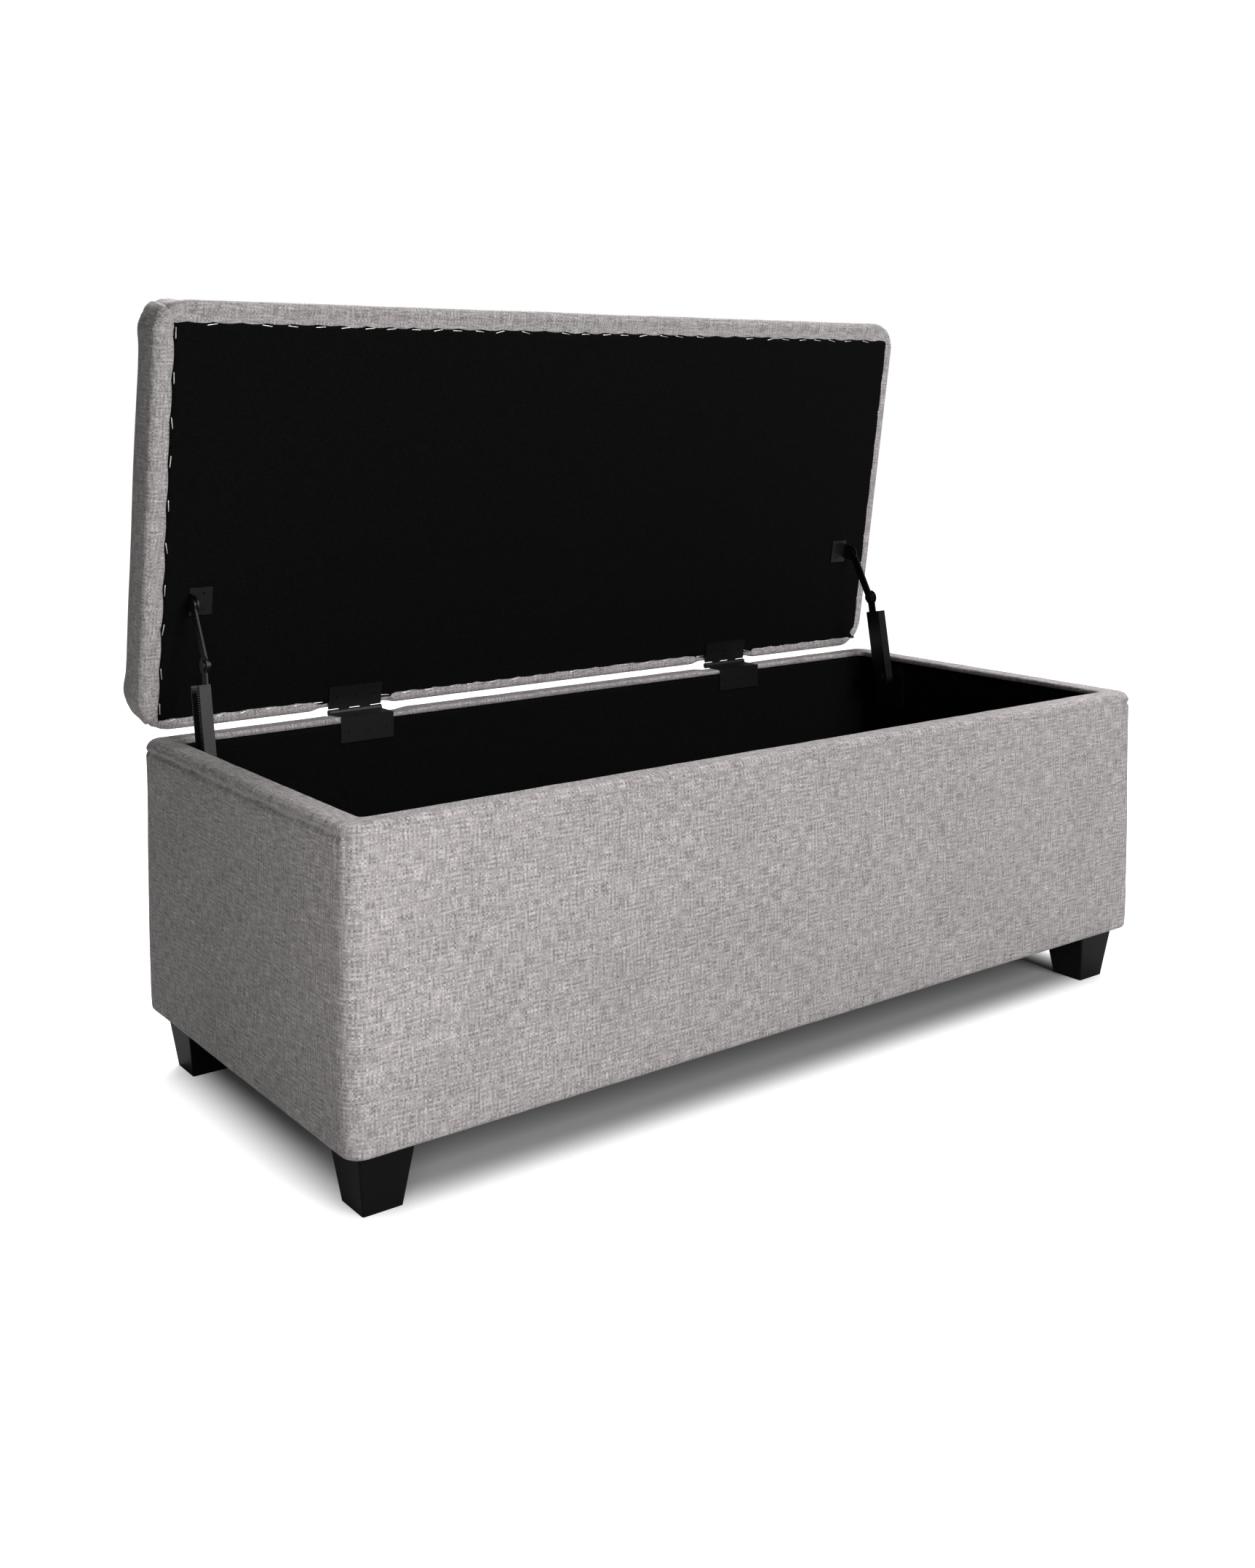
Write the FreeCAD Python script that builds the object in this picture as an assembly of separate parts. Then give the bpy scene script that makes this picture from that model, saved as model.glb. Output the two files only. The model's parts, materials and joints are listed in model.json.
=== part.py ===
import FreeCAD, Part
import math
import os

# Upholstered storage bench: a padded box on four tapered feet with a padded lid.
# The lid turns on two hinges at the back and two folding stays hold it open.
# Millimetres, +X along the bench, -Y the front, +Z up. Everything is first drawn about
# the middle of the box footprint, with the lid shut, and then opened to its rest angle.

V = FreeCAD.Vector
ALONG_X = V(1, 0, 0)

# ---- overall sizes, measured over the upholstery
LENGTH = 980.0
DEPTH = 420.0
BODY_HEIGHT = 264.0
FOOT_HEIGHT = 55.0
LID_THICKNESS = 60.0
LID_OPEN_DEG = 81.5

# ---- box: boards, padding, cover and linings
PANEL = 15.0
PADDING = 4.5
COVER = 1.5
LINING = 1.0
BODY_CORNER = 14.0
BASE_BOARD = 9.0
RAIL_WIDTH = 20.0
BLOCK_SIZE = 60.0
BLOCK_HEIGHT = 20.0
CLOTH_INSET = 8.0
RIM_TUCK = 1.0

# ---- feet and their bolts
FOOT_TOP = 53.0
FOOT_BOTTOM = 37.0
FOOT_INSET = 14.0
FOOT_EDGE = 2.0
FOOT_BOLT_R = 3.95
FOOT_BOLT_DEPTH = 25.0
FOOT_HOLE_SPARE = 2.0
TEE_BARREL_R = 5.0
TEE_FLANGE_R = 9.5
TEE_FLANGE = 1.3
TEE_BARREL_SHORT = 2.0
FIT = 0.05

# ---- lid
LID_CORNER = 30.0
LID_EDGE = 14.0
LID_BOARD = 12.0
LID_RETURN = 25.0
LID_CLOTH_SIDE = 13.0
LID_CLOTH_BACK = 9.0
LID_CLOTH_FRONT = 18.0
FOAM_GAP = 0.2

# ---- hinges
HINGE_X = 257.0
HINGE_LENGTH = 62.0
KNUCKLES = 5
KNUCKLE_R = 3.4
KNUCKLE_GAP = 0.3
PIN_R = 1.5
PIN_BEHIND = 4.2
PIN_PROUD = 0.8
LEAF = 1.5
LEAF_GAP = 1.2
LEAF_CLEAR = 0.5
LID_LEAF_DEPTH = 28.0
BODY_LEAF_DROP = 25.0
HINGE_SCREW_PITCH = 22.0
HINGE_SCREW_DROP = 13.75

# ---- countersunk screws: head radius, shank radius, length under the head
SCREW_HEAD_R = 3.0
SCREW_SHANK_R = 1.6
SCREW_LENGTH = 11.0
PANEL_SCREW_LENGTH = 40.0
PANEL_SCREW_SCALE = 1.3
PANEL_SCREWS = 3

# ---- folding lid stays, set out in the plane of the arms
STAY_ALONG_LID = 132.0
STAY_DROP = 11.5
ELBOW_FROM_BACK = 57.0
ELBOW_ABOVE_RIM = 76.0
ELBOW_NECK = 18.0
ELBOW_NECK_WIDTH = 11.0
ELBOW_EYE_R = 9.0
WALL_PIVOT_FROM_BACK = 75.0
WALL_PIVOT_BELOW_RIM = 24.1
ARM_WIDTH = 21.0
ARM_SHEET = 1.5
ARM_OFF_WALL = 6.5
ARM_DEPTH = 11.5
UPPER_ARM_WIDTH = 10.0
UPPER_ARM_THICK = 2.0
UPPER_EYE_R = 7.0
LAYER_GAP = 0.4
RIVET_R = 3.0
RIVET_HEAD_R = 5.5
RIVET_HEAD = 1.4
RIVET_SLEEVE_R = 5.0
BRACKET_SHEET = 1.5
WALL_BRACKET_HALF = 22.0
WALL_BRACKET_UP = 14.0
WALL_BRACKET_DOWN = 38.0
WALL_BRACKET_CORNER = 5.5
WALL_BRACKET_SCREWS = [(-15.0, -28.0), (15.0, -28.0), (0.0, -16.0)]
LID_BRACKET_HALF = 14.0
LID_BRACKET_FOOT = 24.0
LID_BRACKET_SCREW_IN = 14.4
LID_BRACKET_SCREW_APART = 16.0
LID_EAR_R = 9.0
SPRING_WIRE_R = 0.7
SPRING_COIL_R = 2.7
SPRING_PITCH = 2.2
SPRING_END = 14.0
SPRING_TOP_GAP = 4.0

# ---- staples
STAPLE_CROWN = 11.0
STAPLE_WIRE = 0.9
STAPLE_RISE = 0.7
STAPLE_LEG = 6.0
STAPLE_INSET = 4.0
LID_STAPLE_PITCH_LONG = 27.0
LID_STAPLE_PITCH_SHORT = 40.0
BOTTOM_STAPLE_PITCH = 60.0
STAPLE_CLEAR = 8.0

# ---- levels and faces that follow from the sizes above
RIM = FOOT_HEIGHT + BODY_HEIGHT
HALF_L = LENGTH / 2
HALF_D = DEPTH / 2
PAD_SKIN = COVER + PADDING
PANEL_INNER = PAD_SKIN + PANEL
WALL = PANEL_INNER + LINING
PANEL_BOTTOM = FOOT_HEIGHT + LINING + COVER
PANEL_TOP = RIM - COVER
BLOCK_BOTTOM = FOOT_HEIGHT + LINING
BOARD_BOTTOM = BLOCK_BOTTOM + BLOCK_HEIGHT
BOARD_TOP = BOARD_BOTTOM + BASE_BOARD
FOOT_CENTRE = FOOT_INSET + FOOT_TOP / 2
PIN_Y = HALF_D + PIN_BEHIND
PIN_Z = RIM + LEAF + LEAF_GAP / 2
LID_LEAF_BOTTOM = RIM + LEAF + LEAF_GAP
LID_CLOTH_BOTTOM = LID_LEAF_BOTTOM + LEAF
LID_BASE = LID_CLOTH_BOTTOM + LINING
CORNERS = [("front_left", -1, -1), ("front_right", 1, -1), ("back_left", -1, 1), ("back_right", 1, 1)]
SIDES = [("left", -1), ("right", 1)]

solids = {}


def box(x0, x1, y0, y1, z0, z1):
    lo = V(min(x0, x1), min(y0, y1), min(z0, z1))
    return Part.makeBox(abs(x1 - x0), abs(y1 - y0), abs(z1 - z0), lo)


def rounded_box(half_x, half_y, z0, z1, corner, top_edge=0.0):
    """Box about the Z axis with rounded upright edges and, if asked, a rounded top edge."""
    shape = box(-half_x, half_x, -half_y, half_y, z0, z1)
    upright = [e for e in shape.Edges if abs(e.Vertexes[0].Z - e.Vertexes[1].Z) > (z1 - z0) / 2]
    shape = shape.makeFillet(corner, upright)
    if top_edge > 0:
        shape = shape.makeFillet(top_edge, [e for e in shape.Edges if e.BoundBox.ZMin > z1 - 1e-6])
    return shape


def rod(start, direction, length, radius):
    return Part.makeCylinder(radius, length, start, direction)


def group(shapes):
    return Part.makeCompound(shapes)


def countersunk(point, direction, length, scale=1.0, grow=0.0):
    """Screw with its flat head flush at the point, driven along the direction."""
    head_depth = LEAF * scale
    head_r = SCREW_HEAD_R * scale + grow
    shank_r = SCREW_SHANK_R * scale + grow
    head = Part.makeCone(head_r, shank_r, head_depth, point, direction)
    shank = rod(point + direction * head_depth, direction, length, shank_r)
    return head.fuse(shank).removeSplitter()


def staple(x, y, face_z, along_x, up):
    """U of flat wire: the crown lies on a face and two legs run into it, up or down."""
    half = STAPLE_CROWN / 2
    w = STAPLE_WIRE / 2
    outline = [(-half, -STAPLE_RISE), (half, -STAPLE_RISE), (half, STAPLE_LEG),
               (half - STAPLE_WIRE, STAPLE_LEG), (half - STAPLE_WIRE, 0),
               (-half + STAPLE_WIRE, 0), (-half + STAPLE_WIRE, STAPLE_LEG), (-half, STAPLE_LEG)]
    points = [V(a, -w, up * b) if along_x else V(-w, a, up * b) for a, b in outline]
    wire = Part.makePolygon(points + points[:1])
    sweep = V(0, STAPLE_WIRE, 0) if along_x else V(STAPLE_WIRE, 0, 0)
    shape = Part.Face(wire).extrude(sweep)
    shape.translate(V(x, y, face_z))
    return shape


def spaced(low, high, pitch):
    """Even places from low to high, no further apart than the pitch."""
    steps = max(1, math.ceil((high - low) / pitch))
    return [low + (high - low) * i / steps for i in range(steps + 1)]


def turned(y, z, degrees, about_y, about_z):
    c, s = math.cos(math.radians(degrees)), math.sin(math.radians(degrees))
    dy, dz = y - about_y, z - about_z
    return about_y + c * dy - s * dz, about_z + s * dy + c * dz


# ================================================================ box
def make_panels():
    x_out = HALF_L - PAD_SKIN
    y_out = HALF_D - PAD_SKIN
    y_in = HALF_D - PANEL_INNER
    for name, side in (("front_panel", -1), ("back_panel", 1)):
        solids[name] = box(-x_out, x_out, side * y_out, side * y_in, PANEL_BOTTOM, PANEL_TOP)
    for name, side in SIDES:
        x_in = side * (HALF_L - PANEL_INNER)
        solids[name + "_panel"] = box(side * x_out, x_in, -y_in, y_in, PANEL_BOTTOM, PANEL_TOP)


def make_padding():
    x_flat = HALF_L - BODY_CORNER
    y_flat = HALF_D - BODY_CORNER
    for name, side in (("front_padding", -1), ("back_padding", 1)):
        y0, y1 = side * (HALF_D - COVER), side * (HALF_D - PAD_SKIN)
        solids[name] = box(-x_flat, x_flat, y0, y1, PANEL_BOTTOM, PANEL_TOP)
    for name, side in SIDES:
        x0, x1 = side * (HALF_L - COVER), side * (HALF_L - PAD_SKIN)
        solids[name + "_padding"] = box(x0, x1, -y_flat, y_flat, PANEL_BOTTOM, PANEL_TOP)


def make_body_cover():
    bottom = FOOT_HEIGHT + LINING
    outer = rounded_box(HALF_L, HALF_D, bottom, RIM, BODY_CORNER)
    hollow = rounded_box(HALF_L - COVER, HALF_D - COVER, PANEL_BOTTOM, PANEL_TOP, BODY_CORNER - COVER)
    opening = box(-HALF_L + PANEL_INNER, HALF_L - PANEL_INNER, -HALF_D + PANEL_INNER,
                  HALF_D - PANEL_INNER, bottom - 1, RIM + 1)
    solids["body_cover"] = outer.cut(hollow).cut(opening)


def make_linings():
    x = HALF_L - PANEL_INNER
    y = HALF_D - PANEL_INNER
    top = RIM - RIM_TUCK
    tray = box(-x, x, -y, y, BOARD_TOP, top)
    inside = box(-x + LINING, x - LINING, -y + LINING, y - LINING, BOARD_TOP + LINING, top + 1)
    solids["storage_lining"] = tray.cut(inside)
    bottom = box(-HALF_L + CLOTH_INSET, HALF_L - CLOTH_INSET, -HALF_D + CLOTH_INSET,
                 HALF_D - CLOTH_INSET, FOOT_HEIGHT, FOOT_HEIGHT + LINING)
    for _, sx, sy in CORNERS:
        x, y = sx * (HALF_L - FOOT_CENTRE), sy * (HALF_D - FOOT_CENTRE)
        bottom = bottom.cut(rod(V(x, y, FOOT_HEIGHT - 1), V(0, 0, 1), LINING + 2, FOOT_BOLT_R + FIT))
    solids["bottom_cloth"] = bottom


def make_base():
    x = HALF_L - PANEL_INNER
    y = HALF_D - PANEL_INNER
    board = box(-x, x, -y, y, BOARD_BOTTOM, BOARD_TOP)
    for name, sx, sy in CORNERS:
        block = box(sx * x, sx * (x - BLOCK_SIZE), sy * y, sy * (y - BLOCK_SIZE),
                    BLOCK_BOTTOM, BOARD_BOTTOM)
        bolt = V(sx * (HALF_L - FOOT_CENTRE), sy * (HALF_D - FOOT_CENTRE), BLOCK_BOTTOM - 1)
        block = block.cut(rod(bolt, V(0, 0, 1), BLOCK_HEIGHT + 2, TEE_BARREL_R + FIT))
        flange = V(bolt.x, bolt.y, BOARD_BOTTOM - TEE_FLANGE)
        block = block.cut(rod(flange, V(0, 0, 1), TEE_FLANGE + 1, TEE_FLANGE_R + FIT))
        solids["foot_block_" + name] = block
    solids["base_board"] = board
    for name, sy in (("front", -1), ("back", 1)):
        solids["base_rail_" + name] = box(-x + BLOCK_SIZE, x - BLOCK_SIZE, sy * y,
                                          sy * (y - RAIL_WIDTH), BLOCK_BOTTOM, BOARD_BOTTOM)


def make_panel_screws():
    screws = []
    rise = (PANEL_TOP - PANEL_BOTTOM) / (PANEL_SCREWS + 1)
    for _, sx, sy in CORNERS:
        for i in range(PANEL_SCREWS):
            start = V(sx * (HALF_L - PAD_SKIN - PANEL / 2), sy * (HALF_D - PAD_SKIN),
                      PANEL_BOTTOM + rise * (i + 1))
            screws.append(countersunk(start, V(0, -sy, 0), PANEL_SCREW_LENGTH, PANEL_SCREW_SCALE))
    solids["panel_screws"] = group(screws)


# ================================================================ feet
def make_feet():
    bolts, nuts = [], []
    for name, sx, sy in CORNERS:
        cx, cy = sx * (HALF_L - FOOT_CENTRE), sy * (HALF_D - FOOT_CENTRE)
        squares = []
        for half, z in ((FOOT_BOTTOM / 2, 0.0), (FOOT_TOP / 2, FOOT_HEIGHT)):
            ring = [V(cx - half, cy - half, z), V(cx + half, cy - half, z),
                    V(cx + half, cy + half, z), V(cx - half, cy + half, z)]
            squares.append(Part.makePolygon(ring + ring[:1]))
        foot = Part.makeLoft(squares, True, True)
        leaning = [e for e in foot.Edges if e.BoundBox.ZLength > FOOT_HEIGHT / 2]
        foot = foot.makeFillet(FOOT_EDGE, leaning)
        hole_bottom = FOOT_HEIGHT - FOOT_BOLT_DEPTH - FOOT_HOLE_SPARE
        hole = rod(V(cx, cy, hole_bottom), V(0, 0, 1), FOOT_HEIGHT - hole_bottom + 1, FOOT_BOLT_R + FIT)
        solids["foot_" + name] = foot.cut(hole)
        bolt_length = FOOT_BOLT_DEPTH + LINING + BLOCK_HEIGHT
        bolts.append(rod(V(cx, cy, FOOT_HEIGHT - FOOT_BOLT_DEPTH), V(0, 0, 1), bolt_length, FOOT_BOLT_R))
        barrel = rod(V(cx, cy, BLOCK_BOTTOM + TEE_BARREL_SHORT), V(0, 0, 1),
                     BLOCK_HEIGHT - TEE_BARREL_SHORT, TEE_BARREL_R)
        flange = rod(V(cx, cy, BOARD_BOTTOM - TEE_FLANGE), V(0, 0, 1), TEE_FLANGE, TEE_FLANGE_R)
        bore = rod(V(cx, cy, BLOCK_BOTTOM), V(0, 0, 1), BLOCK_HEIGHT + 1, FOOT_BOLT_R + FIT)
        nuts.append(barrel.fuse(flange).removeSplitter().cut(bore))
    solids["foot_bolts"] = group(bolts)
    solids["foot_tee_nuts"] = group(nuts)


# ================================================================ lid, drawn shut
def make_lid():
    top = LID_BASE + LID_THICKNESS
    outer = rounded_box(HALF_L, HALF_D, LID_BASE, top, LID_CORNER, LID_EDGE)
    hollow = rounded_box(HALF_L - COVER, HALF_D - COVER, LID_BASE + COVER, top - COVER,
                         LID_CORNER - COVER, LID_EDGE - COVER)
    opening = box(-HALF_L + LID_RETURN, HALF_L - LID_RETURN, -HALF_D + LID_RETURN,
                  HALF_D - LID_RETURN, LID_BASE - 1, LID_BASE + COVER + 1)
    solids["lid_cover"] = outer.cut(hollow).cut(opening)
    skin = COVER + FOAM_GAP
    board_top = LID_BASE + COVER + LID_BOARD
    solids["lid_board"] = rounded_box(HALF_L - skin, HALF_D - skin, LID_BASE + COVER, board_top,
                                      LID_CORNER - skin)
    solids["lid_foam"] = rounded_box(HALF_L - skin, HALF_D - skin, board_top, top - skin,
                                     LID_CORNER - skin, LID_EDGE - skin)
    solids["lid_cloth"] = box(-HALF_L + LID_CLOTH_SIDE, HALF_L - LID_CLOTH_SIDE,
                              -HALF_D + LID_CLOTH_FRONT, HALF_D - LID_CLOTH_BACK,
                              LID_CLOTH_BOTTOM, LID_BASE)


def make_lid_staples():
    x_row = HALF_L - LID_CLOTH_SIDE - STAPLE_INSET
    y_front = -HALF_D + LID_CLOTH_FRONT + STAPLE_INSET
    y_back = HALF_D - LID_CLOTH_BACK - STAPLE_INSET
    end = STAPLE_CROWN
    staples = []
    for x in spaced(-x_row + end, x_row - end, LID_STAPLE_PITCH_LONG):
        staples.append(staple(x, y_front, LID_CLOTH_BOTTOM, True, 1))
        if abs(abs(x) - HINGE_X) > HINGE_LENGTH / 2 + STAPLE_CLEAR:
            staples.append(staple(x, y_back, LID_CLOTH_BOTTOM, True, 1))
    for y in spaced(y_front + end, y_back - end, LID_STAPLE_PITCH_SHORT):
        staples.append(staple(-x_row, y, LID_CLOTH_BOTTOM, False, 1))
        staples.append(staple(x_row, y, LID_CLOTH_BOTTOM, False, 1))
    solids["lid_staples"] = group(staples)


def make_bottom_staples():
    x_row = HALF_L - CLOTH_INSET - STAPLE_INSET
    y_row = HALF_D - CLOTH_INSET - STAPLE_INSET
    foot_end = FOOT_INSET + FOOT_TOP + STAPLE_CLEAR
    staples = []
    for x in spaced(-HALF_L + foot_end, HALF_L - foot_end, BOTTOM_STAPLE_PITCH):
        for side in (-1, 1):
            staples.append(staple(x, side * y_row, FOOT_HEIGHT, True, 1))
    for y in spaced(-HALF_D + foot_end, HALF_D - foot_end, BOTTOM_STAPLE_PITCH):
        for side in (-1, 1):
            staples.append(staple(side * x_row, y, FOOT_HEIGHT, False, 1))
    solids["bottom_staples"] = group(staples)


# ================================================================ hinges
def knuckle_spans(centre_x, first):
    """X spans of every second knuckle of a hinge, starting with the given one."""
    step = HINGE_LENGTH / KNUCKLES
    left = centre_x - HINGE_LENGTH / 2
    return [(left + step * i + KNUCKLE_GAP / 2, left + step * (i + 1) - KNUCKLE_GAP / 2)
            for i in range(first, KNUCKLES, 2)]


def add_knuckles(leaf, centre_x, first, z0, z1):
    """Tongues from the leaf plate to the pin, rolled into knuckles round it."""
    for x0, x1 in knuckle_spans(centre_x, first):
        tongue = box(x0, x1, PIN_Y - KNUCKLE_R - LEAF_CLEAR, PIN_Y, z0, z1)
        roll = rod(V(x0, PIN_Y, PIN_Z), ALONG_X, x1 - x0, KNUCKLE_R)
        leaf = leaf.fuse(tongue).fuse(roll)
    bore = rod(V(centre_x - HINGE_LENGTH, PIN_Y, PIN_Z), ALONG_X, 2 * HINGE_LENGTH, PIN_R + FIT)
    return leaf.removeSplitter().cut(bore)


def make_hinges():
    lid_screws, body_screws = [], []
    plate_back = PIN_Y - KNUCKLE_R - LEAF_CLEAR
    inner_y = HALF_D - WALL
    for name, side in SIDES:
        cx = side * HINGE_X
        x0, x1 = cx - HINGE_LENGTH / 2, cx + HINGE_LENGTH / 2
        lid_leaf = box(x0, x1, PIN_Y - LID_LEAF_DEPTH, plate_back, LID_LEAF_BOTTOM, LID_CLOTH_BOTTOM)
        lid_leaf = add_knuckles(lid_leaf, cx, 1, LID_LEAF_BOTTOM, LID_CLOTH_BOTTOM)
        over_rim = box(x0, x1, inner_y - LEAF, plate_back, RIM, RIM + LEAF)
        down_wall = box(x0, x1, inner_y - LEAF, inner_y, RIM - BODY_LEAF_DROP, RIM + LEAF)
        body_leaf = add_knuckles(over_rim.fuse(down_wall), cx, 0, RIM, RIM + LEAF)
        for step in (-1, 0, 1):
            x = cx + step * HINGE_SCREW_PITCH
            up = V(x, (PIN_Y - LID_LEAF_DEPTH + plate_back) / 2, LID_LEAF_BOTTOM)
            into_wall = V(x, inner_y - LEAF, RIM - HINGE_SCREW_DROP)
            for at, way, screws in ((up, V(0, 0, 1), lid_screws), (into_wall, V(0, 1, 0), body_screws)):
                screws.append(countersunk(at, way, SCREW_LENGTH))
            lid_leaf = lid_leaf.cut(countersunk(up, V(0, 0, 1), SCREW_LENGTH, grow=FIT))
            body_leaf = body_leaf.cut(countersunk(into_wall, V(0, 1, 0), SCREW_LENGTH, grow=FIT))
        solids[name + "_hinge_lid_leaf"] = lid_leaf
        solids[name + "_hinge_body_leaf"] = body_leaf
        solids[name + "_hinge_pin"] = rod(V(x0 - PIN_PROUD, PIN_Y, PIN_Z), ALONG_X,
                                          HINGE_LENGTH + 2 * PIN_PROUD, PIN_R)
    solids["hinge_lid_screws"] = group(lid_screws)
    solids["hinge_body_screws"] = group(body_screws)


# ================================================================ folding stays
# The four pivots of one stay, in (Y, Z): the hinge pin, the pivot on the lid, the elbow
# between the two arms and the pivot on the side wall. Both ends of the lid's travel are
# worked out exactly, and the arms' turns over that travel give the coupling ratios.
LID_PIVOT_SHUT = (PIN_Y - STAY_ALONG_LID, PIN_Z - STAY_DROP)
LID_PIVOT = turned(LID_PIVOT_SHUT[0], LID_PIVOT_SHUT[1], -LID_OPEN_DEG, PIN_Y, PIN_Z)
ELBOW = (HALF_D - ELBOW_FROM_BACK, RIM + ELBOW_ABOVE_RIM)
WALL_PIVOT = (HALF_D - WALL_PIVOT_FROM_BACK, RIM - WALL_PIVOT_BELOW_RIM)
LOWER_ARM_LENGTH = math.dist(WALL_PIVOT, ELBOW)
UPPER_ARM_LENGTH = math.dist(ELBOW, LID_PIVOT)


def bearing(a, b):
    """Direction from a to b in degrees, counted from +Y towards +Z."""
    return math.degrees(math.atan2(b[1] - a[1], b[0] - a[0]))


def shut_elbow():
    reach = math.dist(WALL_PIVOT, LID_PIVOT_SHUT)
    cosine = (LOWER_ARM_LENGTH ** 2 + reach ** 2 - UPPER_ARM_LENGTH ** 2) / (2 * LOWER_ARM_LENGTH * reach)
    angle = math.radians(bearing(WALL_PIVOT, LID_PIVOT_SHUT)) + math.acos(cosine)
    return (WALL_PIVOT[0] + LOWER_ARM_LENGTH * math.cos(angle),
            WALL_PIVOT[1] + LOWER_ARM_LENGTH * math.sin(angle))


def turn_between(start, end):
    return (end - start + 180.0) % 360.0 - 180.0


def in_stay_plane(shape, pivot, angle, side):
    """Takes an arm drawn from the origin along +Y, X off the left wall, to its place."""
    shape.rotate(V(0, 0, 0), ALONG_X, angle)
    shape.translate(V(-HALF_L + WALL, pivot[0], pivot[1]))
    return shape if side < 0 else shape.mirror(V(0, 0, 0), ALONG_X)


def bar(x0, x1, length, width, eye_r):
    """Flat bar in the YZ plane with round eyes at both ends."""
    shape = box(x0, x1, 0, length, -width / 2, width / 2)
    for y in (0, length):
        shape = shape.fuse(rod(V(x0, y, 0), ALONG_X, x1 - x0, eye_r))
    return shape.removeSplitter()


def channel_blank(x0, x1, length, half_width):
    """Bar with a round end at the origin and a square end."""
    shape = box(x0, x1, 0, length, -half_width, half_width)
    return shape.fuse(rod(V(x0, 0, 0), ALONG_X, x1 - x0, half_width)).removeSplitter()


def make_stays():
    web_in = ARM_OFF_WALL + ARM_DEPTH
    web_out = web_in - ARM_SHEET
    upper_x = web_in + LAYER_GAP
    upper_end = upper_x + UPPER_ARM_THICK
    ear_x = upper_end + LAYER_GAP
    lower_angle = bearing(WALL_PIVOT, ELBOW)
    upper_angle = bearing(ELBOW, LID_PIVOT)
    wall_screws, lid_screws, ear_rivets = [], [], []
    for name, side in SIDES:
        # wall bracket: a flat plate with three screws and a hole for the pivot rivet
        plate = box(0, BRACKET_SHEET, -WALL_BRACKET_HALF, WALL_BRACKET_HALF,
                    -WALL_BRACKET_DOWN, WALL_BRACKET_UP)
        ends = [e for e in plate.Edges if e.BoundBox.XLength > BRACKET_SHEET / 2]
        plate = plate.makeFillet(WALL_BRACKET_CORNER, ends)
        plate = plate.cut(rod(V(-1, 0, 0), ALONG_X, BRACKET_SHEET + 2, RIVET_R + FIT))
        for y, z in WALL_BRACKET_SCREWS:
            at = V(BRACKET_SHEET, y, z)
            plate = plate.cut(countersunk(at, V(-1, 0, 0), SCREW_LENGTH, grow=FIT))
            wall_screws.append(in_stay_plane(countersunk(at, V(-1, 0, 0), SCREW_LENGTH),
                                             WALL_PIVOT, 0, side))
        solids[name + "_stay_wall_bracket"] = in_stay_plane(plate, WALL_PIVOT, 0, side)
        # pivot rivet: tail in the bracket, sleeve inside the arm, journal through its web
        rivet = rod(V(0, 0, 0), ALONG_X, web_in + LAYER_GAP, RIVET_R)
        sleeve = rod(V(BRACKET_SHEET, 0, 0), ALONG_X, web_out - LAYER_GAP - BRACKET_SHEET, RIVET_SLEEVE_R)
        head = rod(V(web_in + LAYER_GAP, 0, 0), ALONG_X, RIVET_HEAD, RIVET_HEAD_R)
        rivet = rivet.fuse(sleeve).fuse(head).removeSplitter()
        solids[name + "_stay_wall_rivet"] = in_stay_plane(rivet, WALL_PIVOT, 0, side)
        # lower arm: a channel, open towards the wall, round at the wall pivot and cut square
        # below the elbow, where its web goes on as a flat neck with an eye
        channel = LOWER_ARM_LENGTH - ELBOW_NECK
        arm = channel_blank(ARM_OFF_WALL, web_in, channel, ARM_WIDTH / 2)
        arm = arm.cut(channel_blank(ARM_OFF_WALL - 1, web_out, channel + 1, ARM_WIDTH / 2 - ARM_SHEET))
        neck = box(web_out, web_in, channel - ARM_SHEET, LOWER_ARM_LENGTH,
                   -ELBOW_NECK_WIDTH / 2, ELBOW_NECK_WIDTH / 2)
        eye = rod(V(web_out, LOWER_ARM_LENGTH, 0), ALONG_X, ARM_SHEET, ELBOW_EYE_R)
        arm = arm.fuse(neck).fuse(eye).removeSplitter()
        for y in (0, LOWER_ARM_LENGTH):
            arm = arm.cut(rod(V(0, y, 0), ALONG_X, web_in + 1, RIVET_R + FIT))
        solids[name + "_stay_lower_arm"] = in_stay_plane(arm, WALL_PIVOT, lower_angle, side)
        # spring lying in the channel above the wall pivot
        coil_length = channel - SPRING_END - SPRING_TOP_GAP
        helix = Part.makeHelix(SPRING_PITCH, coil_length, SPRING_COIL_R)
        ring = Part.Wire(Part.makeCircle(SPRING_WIRE_R, V(SPRING_COIL_R, 0, 0), V(0, 1, 0)))
        coil = Part.Wire(helix).makePipeShell([ring], True, True)
        coil.rotate(V(0, 0, 0), ALONG_X, -90)
        coil.translate(V((ARM_OFF_WALL + web_out) / 2, SPRING_END, 0))
        solids[name + "_stay_spring"] = in_stay_plane(coil, WALL_PIVOT, lower_angle, side)
        # elbow rivet: fixed in the lower arm's web, the upper arm turns on it
        elbow = rod(V(web_out - RIVET_HEAD, 0, 0), ALONG_X, RIVET_HEAD, RIVET_HEAD_R)
        elbow = elbow.fuse(rod(V(web_out, 0, 0), ALONG_X, upper_end + LAYER_GAP - web_out, RIVET_R))
        elbow = elbow.fuse(rod(V(upper_end + LAYER_GAP, 0, 0), ALONG_X, RIVET_HEAD, RIVET_HEAD_R))
        solids[name + "_stay_elbow_rivet"] = in_stay_plane(elbow.removeSplitter(), ELBOW, 0, side)
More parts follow.
